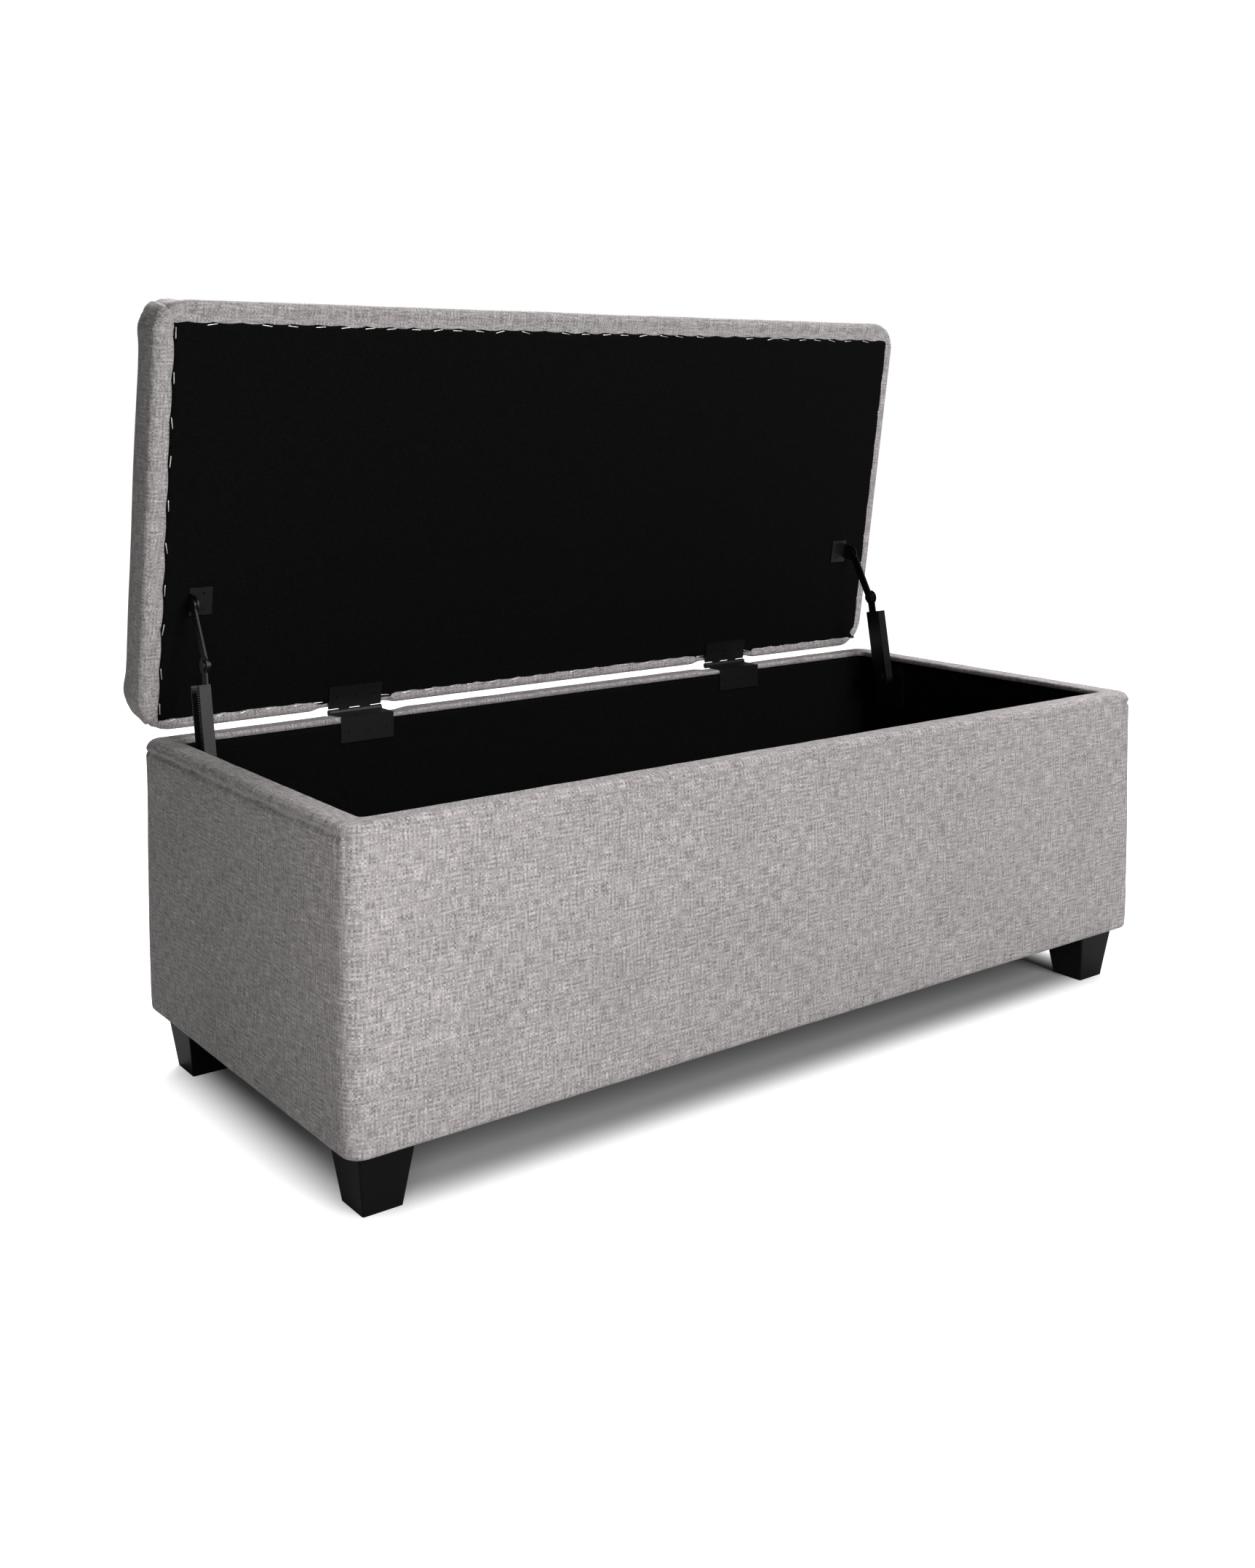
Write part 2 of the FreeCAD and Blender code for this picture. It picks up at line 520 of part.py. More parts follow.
        # upper arm: a flat bar with an eye at each end; only the elbow eye is bored
        upper = bar(upper_x, upper_end, UPPER_ARM_LENGTH, UPPER_ARM_WIDTH, UPPER_EYE_R)
        upper = upper.cut(rod(V(0, 0, 0), ALONG_X, upper_end + 1, RIVET_R + FIT))
        solids[name + "_stay_upper_arm"] = in_stay_plane(upper, ELBOW, upper_angle, side)
        # lid bracket: a foot under the lid and an ear that the lid end of the stay runs beside
        drop = LID_CLOTH_BOTTOM - LID_PIVOT_SHUT[1]
        ear = box(ear_x, ear_x + BRACKET_SHEET, -LID_EAR_R, LID_EAR_R, 0, drop)
        ear = ear.fuse(rod(V(ear_x, 0, 0), ALONG_X, BRACKET_SHEET, LID_EAR_R))
        foot = box(ear_x, ear_x + LID_BRACKET_FOOT, -LID_BRACKET_HALF, LID_BRACKET_HALF,
                   drop - BRACKET_SHEET, drop)
        bracket = ear.fuse(foot).removeSplitter()
        bracket = bracket.cut(rod(V(ear_x - 1, 0, 0), ALONG_X, BRACKET_SHEET + 2, RIVET_R + FIT))
        for y in (-LID_BRACKET_SCREW_APART / 2, LID_BRACKET_SCREW_APART / 2):
            at = V(ear_x + LID_BRACKET_SCREW_IN, y, drop - BRACKET_SHEET)
            bracket = bracket.cut(countersunk(at, V(0, 0, 1), SCREW_LENGTH, grow=FIT))
            lid_screws.append(in_stay_plane(countersunk(at, V(0, 0, 1), SCREW_LENGTH),
                                            LID_PIVOT_SHUT, 0, side))
        solids[name + "_stay_lid_bracket"] = in_stay_plane(bracket, LID_PIVOT_SHUT, 0, side)
        rivet = rod(V(ear_x, 0, 0), ALONG_X, BRACKET_SHEET, RIVET_R)
        rivet = rivet.fuse(rod(V(ear_x + BRACKET_SHEET, 0, 0), ALONG_X, RIVET_HEAD, RIVET_HEAD_R))
        ear_rivets.append(in_stay_plane(rivet.removeSplitter(), LID_PIVOT_SHUT, 0, side))
    solids["stay_wall_screws"] = group(wall_screws)
    solids["stay_lid_screws"] = group(lid_screws)
    solids["stay_lid_rivets"] = group(ear_rivets)


LID_NODES = ["lid_cover", "lid_board", "lid_foam", "lid_cloth", "lid_staples", "hinge_lid_screws",
             "left_hinge_lid_leaf", "right_hinge_lid_leaf", "left_stay_lid_bracket",
             "right_stay_lid_bracket", "stay_lid_screws", "stay_lid_rivets"]

make_panels()
make_padding()
make_body_cover()
make_linings()
make_base()
make_panel_screws()
make_feet()
make_lid()
make_lid_staples()
make_bottom_staples()
make_hinges()
make_stays()

for node in LID_NODES:
    solids[node].rotate(V(0, PIN_Y, PIN_Z), ALONG_X, -LID_OPEN_DEG)

# The origin is on the floor, under the middle of the whole bench with its lid open.
whole = FreeCAD.BoundBox()
for shape in solids.values():
    whole.add(shape.optimalBoundingBox(False))
shift_y = -(whole.YMin + whole.YMax) / 2
for node, shape in solids.items():
    shape.translate(V(0, shift_y, 0))
    shape.exportStep("parts/" + node + ".step")

lower_turn = turn_between(bearing(WALL_PIVOT, ELBOW), bearing(WALL_PIVOT, shut_elbow()))
upper_turn = turn_between(bearing(ELBOW, LID_PIVOT), bearing(shut_elbow(), LID_PIVOT_SHUT)) - lower_turn
print("size X %.2f Y %.2f Z %.2f" % (whole.XLength, whole.YLength, whole.ZLength))
print("shift Y %.4f rim Z %.2f" % (shift_y, RIM))
for label, point in (("hinge pin", (PIN_Y, PIN_Z)), ("wall pivot", WALL_PIVOT), ("elbow", ELBOW),
                     ("lid pivot", LID_PIVOT)):
    print("%s at Y %.4f Z %.4f" % (label, point[0] + shift_y, point[1]))
print("lower arm turns %.4f deg, ratio %.6f" % (lower_turn, lower_turn / LID_OPEN_DEG))
print("upper arm turns %.4f deg, ratio %.6f" % (upper_turn, upper_turn / LID_OPEN_DEG))
print("nodes %d" % len(solids))
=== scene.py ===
import json
import math

import bmesh
import bpy
import numpy as np
from mathutils import Euler, Matrix, Vector, noise


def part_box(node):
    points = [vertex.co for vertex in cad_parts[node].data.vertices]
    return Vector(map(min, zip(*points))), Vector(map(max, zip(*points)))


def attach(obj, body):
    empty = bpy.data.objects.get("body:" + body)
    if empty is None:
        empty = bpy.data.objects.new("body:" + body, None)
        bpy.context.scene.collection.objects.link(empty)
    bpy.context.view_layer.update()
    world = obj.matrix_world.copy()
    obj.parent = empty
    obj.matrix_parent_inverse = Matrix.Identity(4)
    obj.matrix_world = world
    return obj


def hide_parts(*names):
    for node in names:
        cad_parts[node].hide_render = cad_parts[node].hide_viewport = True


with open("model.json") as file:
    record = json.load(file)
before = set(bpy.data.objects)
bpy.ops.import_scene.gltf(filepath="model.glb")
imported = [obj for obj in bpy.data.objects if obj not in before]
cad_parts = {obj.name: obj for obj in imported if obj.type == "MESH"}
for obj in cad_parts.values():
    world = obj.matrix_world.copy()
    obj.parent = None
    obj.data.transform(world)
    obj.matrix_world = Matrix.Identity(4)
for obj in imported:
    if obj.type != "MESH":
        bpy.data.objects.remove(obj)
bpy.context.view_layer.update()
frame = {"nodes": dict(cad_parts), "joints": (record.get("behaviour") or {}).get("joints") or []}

scene = bpy.context.scene

# ------------------------ studio
# White background paper under a softbox behind and above the bench, with a big softbox in
# front, a small one above the lid's right end, and a weak fill close to the front left corner.
FLOOR_HALF = 14.0
# Footprint of the painted shadow edge on the paper: its middle, its half size and the width over which the
# painted white glow fades in.
SHADE_MIDDLE_Y = -0.032
SHADE_HALF = (0.435, 0.155, 0.0)
SHADE_FADE = 0.075
SURROUND_LIGHT = 0.07


def add(tree, kind, inputs=None, stops=(), feeds=None, **settings):
    """Adds a node. Inputs are values, outputs, or nodes, which stand for their first output.
    Stops (place, sRGB hex) fill a colour ramp, and the node's own first output may feed a socket."""
    node = tree.nodes.new(kind)
    for name, value in settings.items():
        setattr(node, name, value)
    for name, value in (inputs or {}).items():
        if isinstance(value, bpy.types.Node):
            value = value.outputs[0]
        if isinstance(value, bpy.types.NodeSocket):
            tree.links.new(value, node.inputs[name])
        else:
            node.inputs[name].default_value = value
    for index, (place, shade) in enumerate(stops):
        elements = node.color_ramp.elements
        element = elements[index] if index < 2 else elements.new(place)
        element.position = place
        element.color = srgb(shade)
    if feeds:
        tree.links.new(node.outputs[0], feeds)
    return node


def srgb(text):
    """Linear colour of an sRGB hex value."""
    parts = [int(text[i:i + 2], 16) / 255 for i in (0, 2, 4)]
    return [p / 12.92 if p <= 0.04045 else ((p + 0.055) / 1.055) ** 2.4 for p in parts] + [1.0]


def new_finish(name, **shader_inputs):
    """A material with a Principled shader; gives its node tree and the shader."""
    material = bpy.data.materials.new(name)
    material.use_nodes = True
    tree = material.node_tree
    tree.nodes.clear()
    inputs = {key.replace("_", " "): value for key, value in shader_inputs.items()}
    shader = add(tree, "ShaderNodeBsdfPrincipled", inputs)
    add(tree, "ShaderNodeOutputMaterial", {"Surface": shader})
    return material, tree, shader


def put(name, data):
    """Links a new object with this data to the scene."""
    thing = bpy.data.objects.new(name, data)
    scene.collection.objects.link(thing)
    return thing


def softbox(name, place, aim, width, height, watts):
    light = bpy.data.lights.new(name, "AREA")
    light.shape = "RECTANGLE"
    light.size = width
    light.size_y = height
    light.energy = watts
    lamp = put(name, light)
    lamp.location = place
    lamp.rotation_euler = (Vector(aim) - Vector(place)).to_track_quat("-Z", "Y").to_euler()


softbox("back_top_softbox", (0.8, 1.7, 2.6), (0.3, 0.0, 0.4), 2.0, 1.8, 142)
softbox("front_softbox", (0.3, -4.0, 2.15), (0.0, -0.24, 0.25), 1.8, 1.8, 148)
softbox("right_top_softbox", (0.9, -0.9, 1.9), (0.3, 0.1, 0.6), 0.6, 0.6, 11)
softbox("left_fill_softbox", (-0.85, -0.75, 0.35), (-0.49, -0.2, 0.2), 0.3, 0.3, 2.0)

world = bpy.data.worlds.new("white_surround")
world.use_nodes = True
scene.world = world
world.node_tree.nodes.clear()
sight = add(world.node_tree, "ShaderNodeLightPath")
seen = add(world.node_tree, "ShaderNodeMapRange", {"Value": sight.outputs["Is Camera Ray"],
           "To Min": SURROUND_LIGHT, "To Max": 1.0})
glow = add(world.node_tree, "ShaderNodeBackground", {"Color": srgb("ffffff"), "Strength": seen})
add(world.node_tree, "ShaderNodeOutputWorld", {"Surface": glow})

# Background paper: matt grey under the bench, where its soft shadow lies. Round the bench's footprint a
# painted white glow, seen only by the camera, fades in and turns the floor plain white from 20 mm outside
# it, so the shadow's outer edge is painted, not cast.
paper = bpy.data.materials.new("background_paper")
paper.use_nodes = True
tree = paper.node_tree
tree.nodes.clear()
lit = add(tree, "ShaderNodeLightPath")
matt = add(tree, "ShaderNodeBsdfDiffuse", {"Color": srgb("b4b4b4")})
painted_white_glow = add(tree, "ShaderNodeEmission", {"Color": srgb("ffffff")})
place = add(tree, "ShaderNodeTexCoord")
centred = add(tree, "ShaderNodeVectorMath", {0: place.outputs["Object"], 1: (0, -SHADE_MIDDLE_Y, 0)},
              operation="ADD")
either_side = add(tree, "ShaderNodeVectorMath", {0: centred}, operation="ABSOLUTE")
past = add(tree, "ShaderNodeVectorMath", {0: either_side, 1: SHADE_HALF}, operation="SUBTRACT")
outside = add(tree, "ShaderNodeVectorMath", {0: past, 1: (0, 0, 0)}, operation="MAXIMUM")
far = add(tree, "ShaderNodeVectorMath", {0: outside}, operation="LENGTH")
fade = add(tree, "ShaderNodeMapRange", {"Value": far.outputs["Value"], "From Max": SHADE_FADE},
           interpolation_type="SMOOTHSTEP")
# Painted white glow: its strength rises with distance outside the footprint, for camera rays only, and
# paints over the floor's shadow there.
add(tree, "ShaderNodeMath", {0: fade, 1: lit.outputs["Is Camera Ray"]}, operation="MULTIPLY",
    feeds=painted_white_glow.inputs["Strength"])
both = add(tree, "ShaderNodeAddShader", {0: matt, 1: painted_white_glow})
add(tree, "ShaderNodeOutputMaterial", {"Surface": both})
floor_mesh = bpy.data.meshes.new("floor")
floor_mesh.from_pydata([(x * FLOOR_HALF, y * FLOOR_HALF, 0)
                        for x, y in ((-1, -1), (1, -1), (1, 1), (-1, 1))], [], [(0, 1, 2, 3)])
floor_mesh.materials.append(paper)
put("floor", floor_mesh)

lens = bpy.data.cameras.new("camera")
lens.lens = 37.73
lens.sensor_width = 36.0
lens.shift_x = 0.0285
lens.shift_y = -0.1955
camera = put("camera", lens)
camera.location = (-1.0737, -1.3547, 0.6458)
level = Euler((math.radians(87.362), 0.0, math.radians(-35.965))).to_matrix()
camera.rotation_euler = (level @ Matrix.Rotation(math.radians(-0.19), 3, "Z")).to_euler()
scene.camera = camera
scene.view_settings.view_transform = "Standard"

# ------------------------ boards and base frame
# The carcass: four walls and a base of raw particle board, with softwood rails under the
# base and a softwood block in each corner for the foot bolts. All of it is glued and screwed.
mm = 0.001


def paint(material, *names):
    for name in names:
        materials = frame["nodes"][name].data.materials
        materials.clear()
        materials.append(material)


def in_mm(tree):
    """The piece's own coordinates in millimetres."""
    place = add(tree, "ShaderNodeTexCoord")
    return add(tree, "ShaderNodeMapping", {"Vector": place.outputs["Object"],
                                           "Scale": (1000, 1000, 1000)})


# Particle board: flat pale chips a few millimetres long in a darker binder, quite rough.
particle_board, tree, shader = new_finish("particle_board", Roughness=0.82)
chips = add(tree, "ShaderNodeTexVoronoi", {"Vector": in_mm(tree), "Scale": 0.3})
add(tree, "ShaderNodeValToRGB", {"Fac": chips.outputs["Color"]}, stops=[(0.1, "8d6f4a"),
    (0.9, "c9ab7e"), (0.5, "b08f62")], feeds=shader.inputs["Base Color"])
add(tree, "ShaderNodeBump", {"Height": chips, "Distance": 0.0003, "Strength": 0.6},
    feeds=shader.inputs["Normal"])
paint(particle_board, "front_panel", "back_panel", "left_panel", "right_panel", "base_board",
      "lid_board")

# Softwood: year rings about 4 mm apart, drawn out along the bench, sawn and not sanded.
softwood, tree, shader = new_finish("sawn_softwood", Roughness=0.75)
rings = add(tree, "ShaderNodeTexWave", {"Vector": in_mm(tree), "Scale": 0.08, "Distortion": 3.0,
            "Detail": 3.0, "Detail Scale": 0.4}, bands_direction="Y")
add(tree, "ShaderNodeValToRGB", {"Fac": rings.outputs["Fac"]}, stops=[(0.0, "a9793f"),
    (1.0, "d8b47e")], feeds=shader.inputs["Base Color"])
add(tree, "ShaderNodeBump", {"Height": rings.outputs["Fac"], "Distance": 0.0002},
    feeds=shader.inputs["Normal"])
paint(softwood, "base_rail_front", "base_rail_back",
      *["foot_block_" + end for end in ("front_left", "front_right", "back_left", "back_right")])

# Zinc plate: a dull bright metal with faint crystal patches about 2 mm across.
zinc, tree, shader = new_finish("zinc_plated_steel", Metallic=1.0, Base_Color=srgb("b9bbb8"))
spangle = add(tree, "ShaderNodeTexVoronoi", {"Vector": in_mm(tree), "Scale": 0.5})
patch = add(tree, "ShaderNodeMapRange", {"Value": spangle.outputs["Color"], "To Min": 0.28,
            "To Max": 0.46}, feeds=shader.inputs["Roughness"])
paint(zinc, "panel_screws", "foot_bolts", "foot_tee_nuts")

# ------------------------ wall padding
# A sheet of foam glued to the outside of each wall. Its top is pared thinner and rounded, so
# that the cover can be drawn into a soft roll along the rim.
PAD_DROP = 1.6 * mm
PAD_PARE = [(60.0, 0.0), (26.0, 0.6), (16.0, 2.4), (10.0, 3.2), (4.0, 3.2), (1.5, 3.4), (0.0, 3.9)]


def new_piece(name, mesh, body, material):
    """Links a finished mesh as a piece that rides on a body."""
    mesh.materials.clear()
    mesh.materials.append(material)
    piece = put(name, mesh)
    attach(piece, body)
    return piece


# Cut foam: cream, with open cells under a millimetre that make it matt and slightly pitted.
foam, tree, shader = new_finish("cut_foam", Roughness=0.95)
cells = add(tree, "ShaderNodeTexVoronoi", {"Vector": in_mm(tree), "Scale": 1.2})
add(tree, "ShaderNodeValToRGB", {"Fac": cells}, stops=[(0.0, "cfc39a"), (0.7, "efe7c9")],
    feeds=shader.inputs["Base Color"])
add(tree, "ShaderNodeBump", {"Height": cells, "Distance": 0.0005}, feeds=shader.inputs["Normal"])

for side, axis, sign in (("front", 1, -1), ("back", 1, 1), ("left", 0, -1), ("right", 0, 1)):
    low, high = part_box(side + "_padding")
    top = high.z - PAD_DROP
    rings = [(low.z, 0.0)] + [(top - drop * mm, pared * mm) for drop, pared in PAD_PARE]
    points, faces = [], []
    for height, pared in rings:
        a, b = low.copy(), high.copy()
        if sign < 0:
            a[axis] += pared
        else:
            b[axis] -= pared
        points += [(a.x, a.y, height), (b.x, a.y, height), (b.x, b.y, height), (a.x, b.y, height)]
    for ring in range(len(rings) - 1):
        for i in range(4):
            k = (i + 1) % 4
            faces.append((4 * ring + i, 4 * ring + k, 4 * ring + 4 + k, 4 * ring + 4 + i))
    last = 4 * (len(rings) - 1)
    faces += [(3, 2, 1, 0), (last, last + 1, last + 2, last + 3)]
    pad_mesh = bpy.data.meshes.new(side + "_wall_padding")
    pad_mesh.from_pydata(points, [], faces)
    padding = new_piece(side + "_wall_padding", pad_mesh, "base", foam)
    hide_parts(side + "_padding")

# ------------------------ box cover
# One band of heathered linen-look cloth round the box. It is tucked in at the inner edge of
# the rim, rolled over the padding, pulled down and stapled under the base, with the spare
# cloth gathered at the corners.
low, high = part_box("body_cover")
HALF_LENGTH = (high.x - low.x) / 2
HALF_DEPTH = (high.y - low.y) / 2
CENTRE_Y = (high.y + low.y) / 2
RIM = high.z
COVER_BOTTOM = low.z
BOX_CORNER = 16.5 * mm
LEAST_CORNER = 8.0 * mm
RIM_WIDTH = 22.5 * mm
RIM_LIP = 1.2 * mm
RIM_LIP_DROP = 4.0 * mm
RIM_ROLL = 6.5 * mm
RIM_CROWN = 1.8
BOTTOM_ROLL = 4.0 * mm
TURNED_UNDER = 25.0 * mm
CLOTH_THICK = 1.3 * mm
CREASE_BELOW_RIM = 9.5
THREAD = 2.0
SLUB = 15.0

# Linen-look polyester: cool grey-beige threads of uneven tone, woven plain, with pale and
# dark slubs. Threads are drawn 2 mm wide, about twice the real ones, so that they show.
linen, tree, shader = new_finish("heathered_linen_weave", Roughness=0.9, Sheen_Weight=0.06,
                                 Sheen_Roughness=0.5, Specular_IOR_Level=0.15)
cloth_place = add(tree, "ShaderNodeUVMap", uv_map="cloth")
tones, ridges = [], []
for across, along in ((THREAD, SLUB), (SLUB, THREAD)):
    strand = add(tree, "ShaderNodeMapping", {"Vector": cloth_place,
                 "Scale": (1000 / across, 1000 / along, 1)})
    tone = add(tree, "ShaderNodeTexNoise", {"Vector": strand, "Scale": 1.0, "Detail": 2.0,
               "Roughness": 0.6})
    tones.append(tone)
    ridge = add(tree, "ShaderNodeTexWave", {"Vector": cloth_place, "Scale": 50 / THREAD},
                bands_direction="X" if across == THREAD else "Y")
    ridges.append(ridge.outputs["Fac"])
squares = add(tree, "ShaderNodeTexChecker", {"Vector": cloth_place, "Scale": 1000 / THREAD})
weave_tone = add(tree, "ShaderNodeMix", {"Factor": squares.outputs["Fac"], "A": tones[0], "B": tones[1]})
heather = add(tree, "ShaderNodeValToRGB", {"Fac": weave_tone}, stops=[(0.30, "6b6768"),
              (0.74, "cfc9c9"), (0.44, "918c8c"), (0.56, "a8a3a3")])
drift = add(tree, "ShaderNodeTexNoise", {"Vector": cloth_place, "Scale": 14.0, "Detail": 3.0})
drift_tone = add(tree, "ShaderNodeMapRange", {"Value": drift, "From Min": 0.3, "From Max": 0.7,
                 "To Min": 0.95, "To Max": 1.05})
add(tree, "ShaderNodeVectorMath", {0: heather, 1: drift_tone}, operation="MULTIPLY",
    feeds=shader.inputs["Base Color"])
weave_height = add(tree, "ShaderNodeMix", {"Factor": squares.outputs["Fac"], "A": ridges[0],
                   "B": ridges[1]})
rough_height = add(tree, "ShaderNodeMath", {0: weave_height, 1: weave_tone}, operation="ADD")
add(tree, "ShaderNodeBump", {"Height": rough_height, "Distance": 0.0004, "Strength": 0.8},
    feeds=shader.inputs["Normal"])


def levels(low, high, step, near=()):
    """Even levels from low to high, with closer ones at given distances from both ends."""
    first = low + (near[-1] if near else 0.0)
    last = high - (near[-1] if near else 0.0)
    count = max(1, round((last - first) / step))
    middle = [first + (last - first) * i / count for i in range(count + 1)]
    if near:
        middle = [low] + [low + d for d in near[:-1]] + middle + [high - d for d in near[-2::-1]] + [high]
    return middle


def smooth_step(value):
    value = min(1.0, max(0.0, value))
    return value * value * (3 - 2 * value)


def bell(value, centre, width):
    return math.exp(-((value - centre) / width) ** 2)


def unevenness(x, y, z):
    """Smooth random unevenness of hand-drawn cloth, about -0.5 to 0.5 and the same each run."""
    return noise.noise(Vector((x, y, z)))


def ring_columns(half_x, half_y, corner, step, corner_steps, near):
    """Columns round a rounded oblong, anticlockwise from its back left corner. Each has its
    share of both half sides (-1 to 1), its outward direction and how far round a corner it is."""
    columns = []
    signs = [(-1, 1), (-1, -1), (1, -1), (1, 1)]
    for quarter, (kx, ky) in enumerate(signs):
        next_kx, next_ky = signs[(quarter + 1) % 4]
        first = math.radians(90 + 90 * quarter)
        for i in range(corner_steps):
            angle = first + math.radians(90) * i / corner_steps
            columns.append((kx, ky, math.cos(angle), math.sin(angle), i / corner_steps))
        last = first + math.radians(90)
        length = 2 * ((half_y if kx == next_kx else half_x) - corner)
        for place in levels(0.0, length, step, near)[:-1]:
            t = place / length
            columns.append((kx + (next_kx - kx) * t, ky + (next_ky - ky) * t,
                            math.cos(last), math.sin(last), 0.0))
    return columns


def arc(centre_in, centre_z, radius, start, end, steps):
    """Points (inward distance, height) and their directions along a round of the profile."""
    points = []
    for i in range(steps + 1):
        angle = math.radians(start + (end - start) * i / steps)
        outward, up = math.cos(angle), math.sin(angle)
        points.append((centre_in - radius * outward, centre_z + radius * up, outward, up))
    return points


profile = [(RIM_WIDTH, RIM - RIM_LIP_DROP, -1.0, 0.0)]
profile += arc(RIM_WIDTH - RIM_LIP, RIM - RIM_LIP, RIM_LIP, 180, 90, 4)
profile += [(RIM_ROLL + (RIM_WIDTH - RIM_LIP - RIM_ROLL) * t, RIM, 0.0, 1.0) for t in (0.8, 0.6, 0.4, 0.2)]
profile += arc(RIM_ROLL, RIM - RIM_ROLL, RIM_ROLL, 90, 0, 7)
wall_top, wall_bottom = RIM - RIM_ROLL, COVER_BOTTOM + BOTTOM_ROLL
profile += [(0.0, wall_top - 1.5 * mm * i, 1.0, 0.0) for i in range(1, 10)]
fine_end = profile[-1][1]
profile += [(0.0, fine_end + (wall_bottom - fine_end) * i / 32, 1.0, 0.0) for i in range(1, 32)]
profile += arc(BOTTOM_ROLL, COVER_BOTTOM + BOTTOM_ROLL, BOTTOM_ROLL, 0, -90, 4)
profile += [(BOTTOM_ROLL + (TURNED_UNDER - BOTTOM_ROLL) * t, COVER_BOTTOM, 0.0, -1.0)
            for t in (0.33, 0.67, 1.0)]

columns = ring_columns(HALF_LENGTH, HALF_DEPTH, BOX_CORNER, 7.5 * mm, 12,
                       [2.2 * mm * i for i in range(1, 16)])
leaf_low, leaf_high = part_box("right_hinge_body_leaf")
HINGE_X = (leaf_low.x + leaf_high.x) / 2
HINGE_HALF = (leaf_high.x - leaf_low.x) / 2


def clear_of_hinge(x, spare):
    """Falls from 1 to 0 where a hinge lies."""
    return smooth_step((abs(abs(x) - HINGE_X) - HINGE_HALF - spare) / (14 * mm))


def column_point(column, inward, half_x, half_y, corner):
    kx, ky, nx, ny, _ = column
    radius = max(corner - inward, LEAST_CORNER)
    return (kx * (half_x - inward - radius) + nx * radius, ky * (half_y - inward - radius) + ny * radius)


def cover_relief(column, around, down, height, up):
    """How far the cloth stands out from the plain shape, in millimetres."""
    kx, ky, nx, ny, turn = column
    end_wall = abs(nx)
    below, rise = (RIM - height) / mm, (height - COVER_BOTTOM) / mm
    wall = max(0.0, 1.0 - abs(up))
    slack = 0.75 * unevenness(around / 0.13, down / 0.09, 3.0)
    slack += 0.3 * unevenness(around / 0.035, down / 0.05, 7.0)
    swell = 0.7 + 1.3 * math.sin(math.pi * min(1.0, max(0.0, (below - 10.0) / 249.0))) ** 0.5
    uneven = 0.8 + 0.6 * unevenness(around / 0.05, 0.0, 11.0)
    crease_at = CREASE_BELOW_RIM + 1.2 * unevenness(around / 0.11, 1.0, 2.0)
    crease = (0.7 + 2.4 * end_wall) * uneven * bell(below, crease_at, 2.1)
    roll = (0.3 + 0.7 * end_wall) * bell(below, 4.5, 3.0)
    pulls = 0.45 * (0.5 + 0.5 * math.cos(2 * math.pi * around / 0.06)) * math.exp(-rise / 9.0)
    relief = wall * (slack + swell + roll - crease - pulls)
    if up > 0:
        flat_x = kx * HALF_LENGTH
        keep = clear_of_hinge(flat_x, 4 * mm) if ny > 0.5 else 1.0
        ripple = 0.35 * unevenness(around / 0.03, down / 0.02, 5.0)
        relief += (1 - wall) * keep * (RIM_CROWN + ripple)
    corner_off = (1 - abs(ky)) * HALF_DEPTH / mm if end_wall > 0.99 else (1 - abs(kx)) * HALF_LENGTH / mm
    corner_off = 0.0 if turn > 0 else corner_off
    share = (0.35 + 0.65 * end_wall) * math.exp(-corner_off / 16.0)
    window = smooth_step((below - 3.0) / 6.0) * math.exp(-max(0.0, below - 10.0) / 15.0)
    relief += 1.7 * wall * share * window * math.cos(2 * math.pi * around / 0.0095)
    return max(relief, -2.7 if 6 < below < 17 else -0.9)


def shell_mesh(name, quads, points, flat):
    """Mesh with a UV map that gives each face corner its place on the flat cloth, in metres."""
    mesh = bpy.data.meshes.new(name)
    mesh.from_pydata([tuple(point) for point in points], [], quads)
    layer = mesh.uv_layers.new(name="cloth")
    for loop, place in enumerate(flat):
        layer.data[loop].uv = place
    return mesh


def band_mesh(name, columns, profile, half_x, half_y, corner, centre_y, relief):
    """Closed band swept round the columns. Gives the mesh and its cloth's flat length and width."""
    edge = [column_point(column, 0.0, half_x, half_y, corner) for column in columns]
    around = [0.0]
    for i in range(len(edge)):
        around.append(around[-1] + math.dist(edge[i], edge[(i + 1) % len(edge)]))
    down = [0.0]
    for a, b in zip(profile, profile[1:]):
        down.append(down[-1] + math.dist(a[:2], b[:2]))
    points = []
    for i, column in enumerate(columns):
        for j, (inward, height, out, up) in enumerate(profile):
            x, y = column_point(column, inward, half_x, half_y, corner)
            stand = relief(column, around[i], down[j], height, up) * mm
            points.append((x + column[2] * out * stand, centre_y + y + column[3] * out * stand,
                           height + up * stand))
    rows = len(profile)
    faces, flat = [], []
    for i in range(len(columns)):
        k = (i + 1) % len(columns)
        for j in range(rows - 1):
            faces.append((i * rows + j, i * rows + j + 1, k * rows + j + 1, k * rows + j))
            flat += [(around[i], down[j]), (around[i], down[j + 1]),
                     (around[i + 1], down[j + 1]), (around[i + 1], down[j])]
    return shell_mesh(name, faces, points, flat), around[-1], down[-1]


def evaluated(carrier, name):
    """The object's mesh with its modifiers applied, in place of the object itself."""
    graph = bpy.context.evaluated_depsgraph_get()
    result = bpy.data.meshes.new_from_object(carrier.evaluated_get(graph))
    bpy.data.objects.remove(carrier)
    result.name = name
    return result


def plain_mesh(mesh, *modifiers):
    """Applies modifiers to a mesh and gives the resulting plain mesh, shaded smooth."""
    carrier = put("carrier", mesh)
    for kind, settings in modifiers:
        modifier = carrier.modifiers.new(kind, kind)
        for name, value in settings.items():
            setattr(modifier, name, value)
    result = evaluated(carrier, mesh.name)
    for polygon in result.polygons:
        polygon.use_smooth = True
    return result


